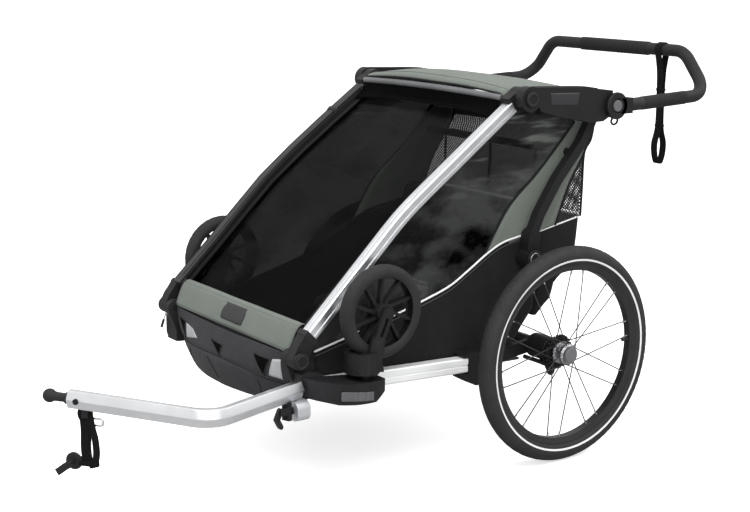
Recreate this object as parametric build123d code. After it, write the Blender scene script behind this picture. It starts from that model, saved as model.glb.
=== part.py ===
from build123d import *
import math
import os

# Child bicycle trailer for two children, towed level, with its stroller wheels stored.
# Millimetres. X points forward to the bicycle, Y to the trailer's left, Z up.
# The model is drawn from the axle: X = 0 and Z = 0 is the ground under the axle.
# save() then moves every piece so that the origin is the bottom centre of the whole trailer.

# Driving dimensions
TYRE_OD = 497.0
TYRE_WIDTH = 44.0
OVERALL_WIDTH = 800.0
FRAME_HALF = 295.0
SECTION_WIDTH = 28.0
SOCKET = SECTION_WIDTH + 0.8
CLEAR = 0.05
HITCH_REACH = 1133.0
HANDLE_REACH = 515.5
AXLE_Z = TYRE_OD / 2
WHEEL_Y = OVERALL_WIDTH / 2 - TYRE_WIDTH / 2
ORIGIN_X = (HANDLE_REACH - HITCH_REACH) / 2

# Side-view places, X then Z
FRONT_PIVOT = (656, 322)
UPPER_PIVOT = (68, 823)
STRUT_TOP = (-150, 769)
STRUT_FOOT = (30, 457)
HUB_CENTRE = (-184, 794)
POST = (196, 240)
CROSSBAR = (-96, 688)
PILLAR_TOP = (94.5, 805.5)
PILLAR_BEND = (388, 597)
PILLAR_END = (633, 363)
PILLAR_BEND_R = 700
STROLLER_AXLE = (481.6, 409.4)
STROLLER_STEM_X = 523.0
STROLLER_Y = 333.7
BOOT_X = 532.0
BOOT_Z = 289.0
BOOT_R = 36.0
BOOT_TALL = 44.0
HANDLE_Y = 317.0
BAR_PLACE = (-497, 899)
BAR_HALF = 237.0
BAR_R = 15.0
GRIP_R = 17.2
WRIST_Y = 165.0
WRIST_LOW = 618.0
SEAT_FOOT = (72, 350)
SEAT_TOP = (14, 556)

# Tow arm and hitch places, X, Y, Z
ARM_START = (662, 298.5, 265)
ARM_BEND = (908, 380, 269)
ARM_TIP = (1093, 135, 283)
HITCH_BALL = (1119, 101, 285)
STRAP_PIVOT = (1071, 164, 254)

# Layers across the width, measured from the middle of the trailer
FRAME_IN = FRAME_HALF - SECTION_WIDTH
STRUT_IN = 274.0
STRUT_OUT = FRAME_HALF - 0.5
ARM_IN = 297.0
ARM_OUT = 321.0
FABRIC_Y = 262.0
UPRIGHT_IN = 226.0
UPRIGHT_OUT = 252.0
PIN_R = 8.0
BEAM_R = 16.0
BRAKE_PIN_R = 2.0
BRAKE_PIN_DROP = 36.5

RAIL_SLOPE = math.degrees(math.atan2(22.0, 435.0))
SPOKES = 20
RING_SLOTS = 24
ROOF_HALF = 264.0
ROOF_THICK = 4.0
SEAT_THICK = 38.0
SEAT_INNER = 8.0
SEAT_OUTER = 214.0
WEBBING_THICK = 3.0
WEBBING_WIDTH = 24.0
STRAP_PLACES = (-160, -64, 64, 160)
BOTTOM = (Align.CENTER, Align.CENTER, Align.MIN)


def save(name, *shapes):
    """Write one node, moved into the trailer's own frame."""
    solids = [solid for shape in shapes for solid in shape.solids()]
    moved = [Pos(ORIGIN_X, 0, 0) * solid for solid in solids]
    whole = moved[0] if len(moved) == 1 else Compound(children=moved)
    export_step(whole, f"parts/{name}.step")


def pair(shape):
    """A left piece and its mirror image on the right."""
    return [shape, shape.mirror(Plane.XZ)]


def side_plane(y):
    return Plane.XZ.offset(-y)


def slab(outline, y_in, y_out):
    """A flat side-view outline made solid between two distances from the middle."""
    return extrude(side_plane(y_out) * outline, amount=y_out - y_in)


def poly(*points):
    return make_face(Polyline(*points, close=True))


def link(width, *points):
    """A round-ended bar through side-view points."""
    shape = Sketch() + [Pos(x, z) * Circle(width / 2) for x, z in points]
    for (x1, z1), (x2, z2) in zip(points, points[1:]):
        turn = math.degrees(math.atan2(z2 - z1, x2 - x1))
        length = math.hypot(x2 - x1, z2 - z1)
        shape += Pos((x1 + x2) / 2, (z1 + z2) / 2) * Rot(0, 0, turn) * Rectangle(length, width)
    return shape


def disc(x, z, radius, y_in, y_out):
    return slab(Pos(x, z) * Circle(radius), y_in, y_out)


def box(x1, x2, y1, y2, z1, z2):
    centre = Pos((x1 + x2) / 2, (y1 + y2) / 2, (z1 + z2) / 2)
    return centre * Box(x2 - x1, y2 - y1, z2 - z1)


def rod(start, end, radius):
    """A straight round bar between two points."""
    direction = Vector(*end) - Vector(*start)
    plane = Plane(origin=start, z_dir=direction)
    return extrude(plane * Circle(radius), amount=direction.length)


def rounded_path(points, radius):
    """Straight lines through 3-D points with an arc at each inner corner."""
    corners = [Vector(*point) for point in points]
    edges = []
    last = corners[0]
    for before, corner, after in zip(corners, corners[1:], corners[2:]):
        back = (before - corner).normalized()
        ahead = (after - corner).normalized()
        half = math.radians(back.get_angle(ahead)) / 2
        cut = radius / math.tan(half)
        start = corner + back * cut
        end = corner + ahead * cut
        middle = corner + (back + ahead).normalized() * (radius / math.sin(half) - radius)
        edges.append(Line(last, start))
        edges.append(ThreePointArc(start, middle, end))
        last = end
    edges.append(Line(last, corners[-1]))
    return Wire(edges)


def along(path, section, x_dir=(0, 1, 0)):
    """Sweep a flat section along a path, with the section's first axis held near x_dir."""
    tangent = path % 0
    across = Vector(*x_dir)
    across = across - tangent * across.dot(tangent)
    plane = Plane(origin=path @ 0, x_dir=across, z_dir=tangent)
    return sweep(plane * section, path=path, transition=Transition.RIGHT)


def offset_line(points, distance):
    """Side-view points moved square to the line they make, towards the right of travel."""
    moved = []
    for index, (x, z) in enumerate(points):
        x1, z1 = points[max(index - 1, 0)]
        x2, z2 = points[min(index + 1, len(points) - 1)]
        length = math.hypot(x2 - x1, z2 - z1)
        moved.append((x + (z2 - z1) / length * distance, z - (x2 - x1) / length * distance))
    return moved


def rail_z(x):
    """Height of the side rail's centre line."""
    return 237.5 + (x - 214) * math.tan(math.radians(RAIL_SLOPE))


# ---------------------------------------------------------------- chassis

def side_rail():
    section = RectangleRounded(28, 34, 5) - Pos(14, 0) * Rectangle(4, 5)
    path = Wire([Line((215, 281, rail_z(215)), (597, 281, rail_z(597)))])
    return along(path, section, (0, 1, 0))


def front_corner():
    """Moulded corner: takes the rail's end, and its inner cheek carries the front pivot."""
    block = slab(poly((600, 236), (655, 240), (655, 292), (640, 296), (600, 284)), 250, 296)
    cheek = slab(link(38, FRONT_PIVOT, (640, 280)), 250, FRAME_IN - 1)
    return block + cheek - disc(*FRONT_PIVOT, PIN_R, 240, 300)


def receiver_drop():
    """Tab under the left front corner that the tow arm's receiver is held by."""
    return box(642, 655, 286, 296, 212, 244)


def front_pivot_pin():
    shaft = disc(*FRONT_PIVOT, PIN_R, 251, 296)
    cap = fillet(disc(*FRONT_PIVOT, 19, FRAME_HALF + 1, 303).edges().group_by(Axis.Y)[-1], 3)
    return shaft + cap


def nose_crossbar():
    return rod((628, -250, 262), (628, 250, 262), 13)


def axle_beam():
    return rod((0, -264, AXLE_Z), (0, 264, AXLE_Z), BEAM_R)


def axle_housing():
    """Barrel on a bracket from the rear corner, with the stub axle and the brake pin's guide."""
    barrel = disc(4, AXLE_Z, 28, 276, 338)
    barrel = fillet(barrel.edges().filter_by(GeomType.CIRCLE), 3)
    bracket = slab(link(30, (4, AXLE_Z), (120, 236), (175, 236)), 264, 276)
    bracket -= box(180, 230, 260, 280, 200, 260)
    stub = disc(0, AXLE_Z, 6, 338, 384)
    neck = disc(0, AXLE_Z, 18, 338, 345)
    guide = slab(link(16, (0, AXLE_Z - 30), (0, AXLE_Z - BRAKE_PIN_DROP)), 300, 346)
    bore = disc(0, AXLE_Z - BRAKE_PIN_DROP, BRAKE_PIN_R + CLEAR, 290, 350)
    return barrel + bracket + stub + neck + guide - bore


def brake_rod():
    """Bright link bar under the axle housing, with the dark lever at its outer end."""
    return rod((22, 264, 219), (22, 344, 219), 5)


def brake_lever():
    lever = slab(link(20, (22, 219), (14, 203)), 345, 350)
    return fillet(lever.edges().group_by(Axis.Y)[-1], 1.5)


def rear_corner():
    block = slab(poly((180, 187), (192, 187), (225, 205), (228, 262), (186, 266)), 253, 296)
    pocket = box(214, 250, 266, 297, 219, 256)
    post = disc(*POST, 13, UPRIGHT_IN, 253)
    return block - pocket + post


def rear_upright():
    """Tube inboard of the folding layer, from the rail's rear end up to the strut's pivot."""
    leg = slab(link(26, STRUT_FOOT, (60, 400), (190, 262)), UPRIGHT_IN, UPRIGHT_OUT)
    post = disc(*POST, 13, UPRIGHT_IN - 1, 260)
    bore = disc(*STRUT_FOOT, PIN_R, 220, 260)
    return leg - post - bore


def strut_pivot_pin():
    """Pin through the upright and the strut, with its bright outer cap."""
    shaft = disc(*STRUT_FOOT, PIN_R, UPRIGHT_IN, 299)
    cap = disc(*STRUT_FOOT, 21, 298, 303)
    return shaft + fillet(cap.edges().group_by(Axis.Y)[-1], 2)


def floor_pan():
    return slab(link(6, (28, 212), (600, 232)), -249, 249)


def platform():
    """D-shaped shelf outboard of the frame; the stored stroller wheel's stem drops into it."""
    side = poly((478, 240), (512, 226), (570, 233), (662, 248), (662, 289), (478, 267))
    slabbed = slab(side, FRAME_HALF + 1, 376)
    arc = ThreePointArc((478, 344), (550, 371), (612, 371))
    edge = Polyline((612, 371), (640, 332), (656, FRAME_HALF + 1), (478, FRAME_HALF + 1), (478, 344))
    plan = make_face([*arc.edges(), *edge.edges()])
    shelf = slabbed & extrude(plan, amount=400)
    hole = Pos(STROLLER_STEM_X, STROLLER_Y, 232) * Cylinder(9 + CLEAR, 100, align=BOTTOM)
    return shelf - hole


def platform_reflector():
    """Grey reflector that follows the shelf's curved outer face."""
    def zone(grow):
        arc = ThreePointArc((478, 344 + grow), (550, 371 + grow), (612, 371 + grow))
        back = Polyline((612, 371 + grow), (612, 320), (478, 320), (478, 344 + grow))
        return extrude(Pos(0, 0, 200) * make_face([*arc.edges(), *back.edges()]), amount=100)

    ring = zone(3) - zone(0)
    window = slab(poly((523, 233), (608, 248), (608, 268), (523, 252)), 340, 390)
    return ring & window


def nose_cover():
    """Thin bulging shell across the front, from under the band down to the floor."""
    def section(z, front, half, back, thick):
        sag = half * half / 1100
        arc = ThreePointArc((front - sag - thick, -half + thick), (front - thick, 0),
                            (front - sag - thick, half - thick))
        rim = Polyline((front - sag - thick, half - thick), (back, half - thick),
                       (back, -half + thick), (front - sag - thick, -half + thick))
        return Pos(0, 0, z) * make_face([*arc.edges(), *rim.edges()])

    outer = loft([section(320, 664, 246, 606, 0), section(262, 690, 240, 606, 0),
                  section(205, 676, 170, 606, 0)], ruled=True)
    inner = loft([section(321, 664, 246, 600, 4), section(262, 690, 240, 600, 4),
                  section(209, 674, 170, 600, 4)], ruled=True)
    shell = outer - inner
    cuts = box(590, 641, -260, 260, 190, 330)
    return shell - cuts


def hitch_receiver():
    """Silver housing that takes the tow arm's spigot, rounded underneath."""
    body = extrude(Plane.YZ.offset(655) * link_section(), amount=31)
    mouth = Vector(700, ARM_START[1] + 38 * tow_direction().Y / tow_direction().X, 226)
    bore = rod(tuple(mouth - tow_direction() * 51), tuple(mouth), 8 + CLEAR)
    return body - bore


def link_section():
    return Pos(309, 225.5) * RectangleRounded(44, 41, 16)


def tow_direction():
    """Unit vector along the tow arm's rear part."""
    ahead = Vector(*ARM_BEND) - Vector(*ARM_START)
    return Vector(ahead.X, ahead.Y, 0).normalized()


# ---------------------------------------------------------------- soft cabin pieces

def lower_side_panel():
    top = ((597, 323), (527, 339), (319, 391), (244, 414), (132, 477), (89, 494), (37, 500),
           (-2, 504))
    bottom = ((-2, 330), (31, 292), (70, 240), (180, 222), (594, 244))
    panel = slab(poly(*top, *bottom), 255, FABRIC_Y - 1)
    post = disc(*POST, 15, 200, 300)
    return panel - disc(*STRUT_FOOT, 12, 250, 270) - post - box(170, 260, 250, 270, 180, 275)


def side_window():
    """Tinted film from the pillar down to the lower panel's piping."""
    lower = ((604, 327), (527, 344), (319, 396), (244, 419), (139, 480), (139, 499), (-99, 747))
    upper = ((-96, 812), (68, 806), (381, 583), (603, 374))
    return slab(poly(*lower, *upper), 257, 259)


def side_band():
    """Green strip from the side window back behind the strut."""
    lower = ((128, 487), (89, 500), (37, 506), (-10, 512), (-65, 519))
    upper = ((-104, 609), (-140, 665), (-180, 778), (-106, 778), (-106, 747))
    band = slab(poly(*lower, *upper), 255, FABRIC_Y - 1)
    return band - disc(*CROSSBAR, 12, 250, 270)


def rear_side_mesh():
    outline = poly((-72, 521), (-148, 532), (-150, 668), (-110, 609))
    return slab(outline, 255, FABRIC_Y - 1)


def rear_panel():
    """Mesh back of the cabin, above the rear bag."""
    return slab(link(5, (-146, 541), (-154, 680), (-176, 715), (-188, 774)), -250, 250)


def rear_bag():
    """Open-topped storage bag that hangs behind the seats."""
    outer = poly((-6, 505), (-150, 530), (-142, 460), (-101, 397), (-75, 382), (-69, 342), (-12, 312))
    inner = poly((-11, 520), (-145, 545), (-137, 462), (-97, 401), (-70, 386), (-64, 345), (-17, 319))
    return slab(outer, -FABRIC_Y, FABRIC_Y) - slab(inner, -FABRIC_Y + 5, FABRIC_Y - 5)


def seat_base():
    cushion = box(70, 330, SEAT_INNER, SEAT_OUTER, 268, 318)
    return fillet(cushion.edges().filter_by(Axis.Y) + cushion.edges().filter_by(Axis.X), 14)


def seat_back():
    return slab(link(SEAT_THICK, SEAT_FOOT, SEAT_TOP), SEAT_INNER, SEAT_OUTER)


def shoulder_strap(y):
    """Webbing lying on the seat back's front face."""
    lift = SEAT_THICK / 2 + WEBBING_THICK
    line = offset_line([SEAT_FOOT, SEAT_TOP], lift)
    return slab(link(WEBBING_THICK, *line), y - WEBBING_WIDTH / 2, y + WEBBING_WIDTH / 2)


# ---------------------------------------------------------------- front frame

def pillar_path():
    middle = FRAME_HALF - SECTION_WIDTH / 2
    points = [(x, middle, z) for x, z in (PILLAR_TOP, PILLAR_BEND, PILLAR_END)]
    return rounded_path(points, PILLAR_BEND_R)


def pillar():
    """Bent aluminium extrusion with chamfered corners and a groove along its outer face."""
    half = SECTION_WIDTH / 2
    section = RectangleRounded(SECTION_WIDTH, SECTION_WIDTH, 5)
    section -= Pos(half, -3) * Rectangle(5, 3.4)
    section -= Pos(1, half) * Rectangle(3.4, 3)
    return along(pillar_path(), section)


def pillar_foot():
    """Black end piece that joins the pillar to the front pivot."""
    plate = poly((622, 351), (641, 378), (662, 352), (675, 326), (668, 308), (645, 307), (632, 330))
    foot = slab(plate, FRAME_IN, FRAME_HALF) + disc(*FRONT_PIVOT, 19, FRAME_IN, FRAME_HALF)
    middle = FRAME_HALF - SECTION_WIDTH / 2
    sleeve_path = Wire([Line(pillar_path() @ 1, Vector(624.5, middle, 371))])
    socket = along(sleeve_path, Rectangle(SOCKET, SOCKET))
    sleeve = along(sleeve_path, Rectangle(33, 35)) - socket
    keep = box(500, 700, FRAME_IN - 2.4, FRAME_HALF + 0.6, 300, 420)
    solid = foot - socket + (sleeve & keep)
    return solid - disc(*FRONT_PIVOT, PIN_R + CLEAR, 240, 320)


def pillar_head():
    """Black end piece that joins the pillar to the upper hinge."""
    outline = link(50, UPPER_PIVOT) + poly((82, 842), (112, 824), (101, 789), (84, 797), (60, 806))
    head = slab(outline, FRAME_IN, FRAME_HALF)
    middle = FRAME_HALF - SECTION_WIDTH / 2
    path = Wire([Line((94.5, middle, 805.5), (200, middle, 730.6))])
    back_cut = along(path, Rectangle(SOCKET, SOCKET))
    return head - back_cut - disc(*UPPER_PIVOT, PIN_R, 240, 320)


def upper_hinge_pin():
    shaft = disc(*UPPER_PIVOT, PIN_R, FRAME_IN - 3, 323)
    cap = fillet(disc(*UPPER_PIVOT, 17, 321.5, 326).edges().group_by(Axis.Y)[-1], 2)
    inner = disc(*UPPER_PIVOT, 13, FRAME_IN - 5, FRAME_IN)
    return shaft + cap + inner


def header_bar():
    """Bowed cross bar between the pillar heads."""
    points = [(98, -266, 819), (98, -180, 825), (98, 0, 829), (98, 180, 825), (98, 266, 819)]
    path = Wire([Spline(*points)])
    bar = along(path, RectangleRounded(13, 20, 5), (0, 0, 1))
    return bar & box(0, 200, -FRAME_IN + 0.5, FRAME_IN - 0.5, 700, 900)


def front_screen():
    """Tinted front window, bent with the pillars."""
    line = [(106, 786), (385, 589), (612, 377)]
    outer = offset_line(line, -2)
    inner = offset_line(line, 1)
    return slab(poly(*outer, *reversed(inner)), -264, 264)


def front_band():
    line = [(617, 383), (634, 376), (652, 334)]
    return slab(poly(*offset_line(line, -3), *reversed(offset_line(line, 0))), -248, 248)


# ---------------------------------------------------------------- side arms

def side_arm():
    """Plastic arm from the upper hinge back to the handlebar's hub."""
    top = ((75, 850), (-86, 842), (-178, 829))
    under = ((-178, 786), (-166, 768), (-150, 760), (-107, 760), (-81, 767), (-23, 777), (40, 796))
    outline = link(56, UPPER_PIVOT) + poly(*top, *under)
    plate = slab(outline, ARM_IN, ARM_OUT) - disc(*HUB_CENTRE, 28.5, 305.4, 340)
    cheek = disc(*HUB_CENTRE, 29, ARM_IN, 305) + slab(link(50, HUB_CENTRE, (-160, 794)), ARM_IN, 305)
    arm = plate + cheek - disc(*UPPER_PIVOT, PIN_R + CLEAR, 280, 340)
    pin = disc(*HUB_CENTRE, 9, ARM_IN, 321.5)
    stud = disc(*STRUT_TOP, 7, ARM_IN - 1.5, ARM_IN)
    return arm + pin + stud - slab(badge_outline(), 319, 325)


def badge_outline():
    return poly((12, 834), (-76, 830), (-72, 802), (8, 806))


def rear_roof_bar():
    points = [(-152, -297, 798), (-178, -240, 796), (-188, 0, 804), (-178, 240, 796), (-152, 297, 798)]
    path = Wire([Spline(*points)])
    return along(path, Circle(8), (0, 0, 1)) & box(-300, 0, -297, 297, 700, 900)


def roof_section(x, middle, edge):
    """Crowned band across the roof at one place along the trailer."""
    half = ROOF_HALF
    low = ROOF_THICK
    top = ThreePointArc((-half, edge), (0, middle), (half, edge))
    bottom = ThreePointArc((half, edge - low), (0, middle - low), (-half, edge - low))
    sides = Line((half, edge), (half, edge - low)), Line((-half, edge - low), (-half, edge))
    band = make_face([*top.edges(), *sides[0].edges(), *bottom.edges(), *sides[1].edges()])
    return Plane(origin=(x, 0, 0), x_dir=(0, 1, 0), z_dir=(1, 0, 0)) * band


def roof_canopy():
    """Crowned fabric roof from over the header back to the rear roof bar."""
    places = ((104, 850, 839), (40, 861, 841), (-40, 853, 837), (-115, 841, 828), (-192, 824, 813))
    return loft([roof_section(*place) for place in places])


# ---------------------------------------------------------------- struts and handlebar

def rear_strut():
    """Slim bowed tube, with a wider foot round its pivot."""
    tube = slab(link(22, STRUT_TOP, (-116, 710), (-45, 632), (8, 556), (24, 520)), STRUT_IN, STRUT_OUT)
    foot = slab(link(34, (25, 508), STRUT_FOOT), FRAME_IN - 1, STRUT_OUT)
    foot += disc(*STRUT_FOOT, 25, FRAME_IN - 1, 297)
    return tube + foot - disc(*STRUT_FOOT, PIN_R + CLEAR, 220, 320)


def strut_crossbar():
    x, z = CROSSBAR
    return rod((x, -STRUT_IN - 0.5, z), (x, STRUT_IN + 0.5, z), 9)


def handlebar_path():
    x, z = BAR_PLACE
    left = [(x, BAR_HALF, z), (x, HANDLE_Y, 801), (-232, HANDLE_Y, 792)]
    right = [(a, -b, c) for a, b, c in reversed(left)]
    return rounded_path(right + left, 55)


def handlebar():
    return along(handlebar_path(), Circle(BAR_R), (0, 0, 1))


def handlebar_hub():
    hub = disc(*HUB_CENTRE, 27, 305.5, 330)
    hub = fillet(hub.edges().group_by(Axis.Y)[-1], 3)
    neck = slab(link(36, (-200, 793), (-250, 792)), 301, 333) - disc(*HUB_CENTRE, 29.6, 290, 305.5)
    neck -= box(-300, -231.5, 290, 340, 760, 830)
    hub = hub + neck - disc(*HUB_CENTRE, 9 + CLEAR, 290, 340)
    return hub - disc(*HUB_CENTRE, 13 + CLEAR, 323, 340)


def hub_button():
    button = disc(*HUB_CENTRE, 13, 327, 334)
    return fillet(button.edges().group_by(Axis.Y)[-1], 2)


def handlebar_grip():
    """Padded sleeve round the crossbar."""
    x, z = BAR_PLACE
    return rod((x, -120, z), (x, 120, z), GRIP_R) - rod((x, -130, z), (x, 130, z), BAR_R)


def wrist_strap():
    """Webbing loop hung round the crossbar."""
    x, z = BAR_PLACE
    near, far = WRIST_Y - 11, WRIST_Y + 11
    ring = Pos(x, WRIST_Y, z) * Rot(90, 0, 0) * (Cylinder(17.6, 22) - Cylinder(BAR_R + CLEAR, 24))
    fall = ((14, z - 11), (6, 800), (6, 710), (15, 665), (13, 640), (6, WRIST_LOW))
    front = slab(link(2.4, *[(x - out, level) for out, level in fall]), near, far)
    back = slab(link(2.4, *[(x + out, level) for out, level in fall]), near, far)
    fold = slab(link(2.4, (x - 6, WRIST_LOW), (x + 6, WRIST_LOW)), near, far)
    return ring + front + back + fold


# ---------------------------------------------------------------- main wheels (left)

def lathe(points):
    """Turn an outline of (radius, y) points round the wheel axle."""
    face = make_face(Polyline(*[(radius, y, 0) for radius, y in points], close=True))
    turned = revolve(face, Axis.Y)
    return Pos(0, 0, AXLE_Z) * turned


def tyre():
    half = TYRE_WIDTH / 2
    centre_r = TYRE_OD / 2 - half
    section = Pos(centre_r, WHEEL_Y) * Circle(half) - Pos(centre_r, WHEEL_Y) * Circle(half - 4)
    section -= Pos(centre_r - half, WHEEL_Y) * Rectangle(half + 8, 30)
    return Pos(0, 0, AXLE_Z) * revolve(section, Axis.Y)


def rim():
    """Channel rim with hooked edges."""
    inside = [(212, -14.6), (206, -14.6), (194, -9), (194, 9), (206, 14.6), (212, 14.6)]
    outside = [(212, 12.6), (207, 12.6), (198, 7), (198, -7), (207, -12.6), (212, -12.6)]
    return lathe([(radius, WHEEL_Y + side) for radius, side in inside + outside])


def spoke_ends(index):
    """Flange point and rim point of one spoke; neighbours lean opposite ways and cross."""
    at_rim = math.radians(360 / SPOKES * index + (3.6 if index % 2 else -3.6))
    lean = math.radians(62 if index % 2 == 0 else -62)
    at_hub = at_rim + lean
    flange_y = WHEEL_Y - 15 if index % 4 < 2 else WHEEL_Y + 8
    inner = (22.5 * math.cos(at_hub), flange_y, AXLE_Z + 22.5 * math.sin(at_hub))
    outer = (196 * math.cos(at_rim), WHEEL_Y, AXLE_Z + 196 * math.sin(at_rim))
    return inner, outer


def spokes():
    return [rod(*spoke_ends(index), 1.0) for index in range(SPOKES)]


def hub_shell():
    y = WHEEL_Y
    bore = 6 + CLEAR
    inner_flange = [(bore, y - 20), (19, y - 20), (26, y - 18), (26, y - 12), (15, y - 8)]
    outer_flange = [(15, y + 2), (25, y + 5), (25, y + 11), (20.2, y + 15)]
    lip = [(20.2, y + 18), (17.5, y + 18), (17.5, y + 7), (bore, y + 7)]
    return lathe(inner_flange + outer_flange + lip)


def brake_ring():
    """Notched disc on the hub's inner end; the parking brake's pin drops into a notch."""
    y = WHEEL_Y
    ring = lathe([(8, y - 26), (40, y - 26), (40, y - 20.1), (8, y - 20.1)])
    for index in range(RING_SLOTS):
        notch = Pos(0, y - 23, -37.5) * Box(4.4, 10, 9)
        ring -= Pos(0, 0, AXLE_Z) * Rot(0, 360 / RING_SLOTS * index, 0) * notch
    return ring


def release_button():
    y = WHEEL_Y
    return lathe([(0, y + 12), (17.4, y + 12), (17.4, y + 20.5), (15.4, y + 22), (0, y + 22)])


# ---------------------------------------------------------------- stored stroller wheels (left)

def stroller_fork():
    x, z = STROLLER_AXLE
    y = STROLLER_Y
    arm = link(26, (x, z), (508, 352)) + link(34, (508, 352), (518, 300))
    outer = slab(arm, y + 21, y + 29)
    inner = slab(arm, y - 29, y - 21)
    slot = slab(link(7, (486, 398), (500, 366)), y + 10, y + 40)
    crown = slab(poly((494, 288), (560, 298), (552, 313), (496, 304)), y - 29, y + 29)
    crown += Pos(BOOT_X, y, BOOT_Z) * Cylinder(BOOT_R, BOOT_TALL, align=BOTTOM)
    crown -= disc(x, z, 103, y - 18.5, y + 18.5)
    crown += Pos(STROLLER_STEM_X, y, 284) * Cylinder(14, 12)
    stem = Pos(STROLLER_STEM_X, y, 238) * Cylinder(9, 40, align=BOTTOM)
    pin = disc(x, z, 5, y - 24, y + 24)
    return outer - slot + inner + crown + stem + pin


def stroller_tyre():
    x, z = STROLLER_AXLE
    section = Pos(84, STROLLER_Y) * Circle(16.5) - Pos(76, STROLLER_Y) * Rectangle(28, 24)
    ring = revolve(section, Axis.Y)
    return Pos(x, 0, z) * ring


def stroller_rim():
    x, z = STROLLER_AXLE
    y = STROLLER_Y
    hoop = disc(x, z, 90, y - 11.9, y + 11.9) - disc(x, z, 80, y - 20, y + 20)
    hub = disc(x, z, 20, y - 19, y + 19)
    shape = hoop + hub
    for index in range(10):
        turn = math.radians(36 * index)
        start = (x + 16 * math.cos(turn), z + 16 * math.sin(turn))
        end = (x + 82 * math.cos(turn + 0.35), z + 82 * math.sin(turn + 0.35))
        shape += slab(link(7, start, end), y - 7, y + 7)
    return shape - disc(x, z, 5 + CLEAR, y - 40, y + 40)


# ---------------------------------------------------------------- tow arm

def tow_arm():
    """Six-sided aluminium tube, bent once, with a ridge along each side."""
    section = make_face(Polyline((-18, 7), (0, 15), (18, 7), (18, -7), (0, -15), (-18, -7), close=True))
    path = rounded_path([ARM_START, ARM_BEND, ARM_TIP], 60)
    return along(path, section, (0, 0, 1))


def tow_foot():
    """Black end piece under the arm: an oval face and the spigot that enters the receiver."""
    direction = tow_direction()
    turn = math.degrees(math.atan2(direction.Y, direction.X))
    x, y = 700, ARM_START[1] + (700 - ARM_START[0]) * math.tan(math.radians(turn))
    oval = Pos(x, y, 228.5) * Rot(0, 0, turn) * Box(12, 22, 37)
    oval = fillet(oval.edges().filter_by(Axis.Z), 5)
    start = Vector(x, y, 226)
    spigot = rod(tuple(start), tuple(start - direction * 40), 8)
    hinge = disc(716, 232, 3, y - 6, y + 12) + box(700, 720, y + 9, y + 12, 224, 240)
    return oval + spigot + hinge


def tow_latch():
    """Hooked lever that hangs from the foot."""
    y = ARM_START[1] + 45 * math.tan(math.radians(18.3))
    lever = slab(link(10, (716, 232), (724, 214), (716, 198)), y - 8, y + 2)
    return lever - disc(716, 232, 3 + CLEAR, 290, 330)


def tow_ball():
    """Rubber-sleeved flexible joint at the arm's tip."""
    ahead = (Vector(*HITCH_BALL) - Vector(*ARM_TIP)).normalized()
    start = Vector(*ARM_TIP) + ahead * 0.4
    neck = rod(tuple(start), HITCH_BALL, 8.5)
    return neck + Pos(*HITCH_BALL) * Sphere(14) + rod(tuple(start), tuple(start + ahead * 4), 11)


def tow_rivet():
    middle = Vector(*ARM_TIP) - tip_direction() * 22
    across = Vector(tip_direction().Y, -tip_direction().X, 0) * -1
    return rod(tuple(middle + across * 12), tuple(middle + across * 16.5), 6)


def tip_direction():
    return (Vector(*ARM_TIP) - Vector(*ARM_BEND)).normalized()


def strap_plane():
    """Plane square to the arm's tip: local X along the arm, local Y up, at the strap's pivot."""
    along_arm = Vector(tip_direction().X, tip_direction().Y, 0).normalized()
    return Plane(origin=STRAP_PIVOT, x_dir=along_arm, z_dir=along_arm.cross(Vector(0, 0, 1)))


def strap_hanger():
    """Lug and pin under the arm's tip that carry the safety strap."""
    plane = strap_plane()
    pin = extrude(plane * Circle(3), amount=7, both=True)
    ears = [plane * Pos(0, 1.5, side * 5.5) * Box(14, 16, 3) for side in (-1, 1)]
    return pin + ears


def hitch_strap():
    """Webbing safety strap: an eye round its pin, a long tail and a returning loop."""
    plane = strap_plane()
    eye = extrude(plane * (Circle(6) - Circle(3 + CLEAR)), amount=3.5, both=True)
    tail = plane * Pos(2, -54, 0) * Box(24, 88, 3)
    loop = plane * Pos(-19, -74, -3) * Box(12, 60, 6)
    foot = plane * Pos(-3.5, -102, 0) * Box(37, 10, 7)
    bridge = plane * Pos(0, -8, 0) * Box(10, 8, 6)
    return eye + bridge + tail + foot + loop


def strap_ring():
    plane = strap_plane()
    ring = RectangleRounded(24, 9, 4) - RectangleRounded(19, 4.4, 2)
    return extrude(plane * Pos(-23, -36) * ring, amount=2)


def hitch_pin():
    """Round-headed hitch pin with its pull tab, tied to the strap's foot."""
    plane = strap_plane()
    head = extrude(plane * Pos(33, -101, 0) * Circle(18), amount=5)
    shank = extrude(plane * Pos(33, -101, -20) * Circle(4), amount=20)
    tab = extrude(plane * Pos(55, -120, 0) * Rot(0, 0, -42) * SlotOverall(36, 16), amount=4)
    return head + shank + tab


# ---------------------------------------------------------------- parking brake

def brake_pedal():
    """Foot lever clipped round the axle beam."""
    sleeve = slab(link(46, (0, AXLE_Z)) + link(20, (-24, AXLE_Z), (-84, AXLE_Z + 8)), -18, 18)
    pad = box(-104, -74, -34, 34, AXLE_Z + 6, AXLE_Z + 18)
    pad = fillet(pad.edges().filter_by(Axis.Z), 8)
    return sleeve + pad - disc(0, AXLE_Z, BEAM_R + CLEAR, -40, 40)


def brake_pin():
    return disc(0, AXLE_Z - BRAKE_PIN_DROP, BRAKE_PIN_R, 306, 350.5)


os.makedirs("parts", exist_ok=True)

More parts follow.
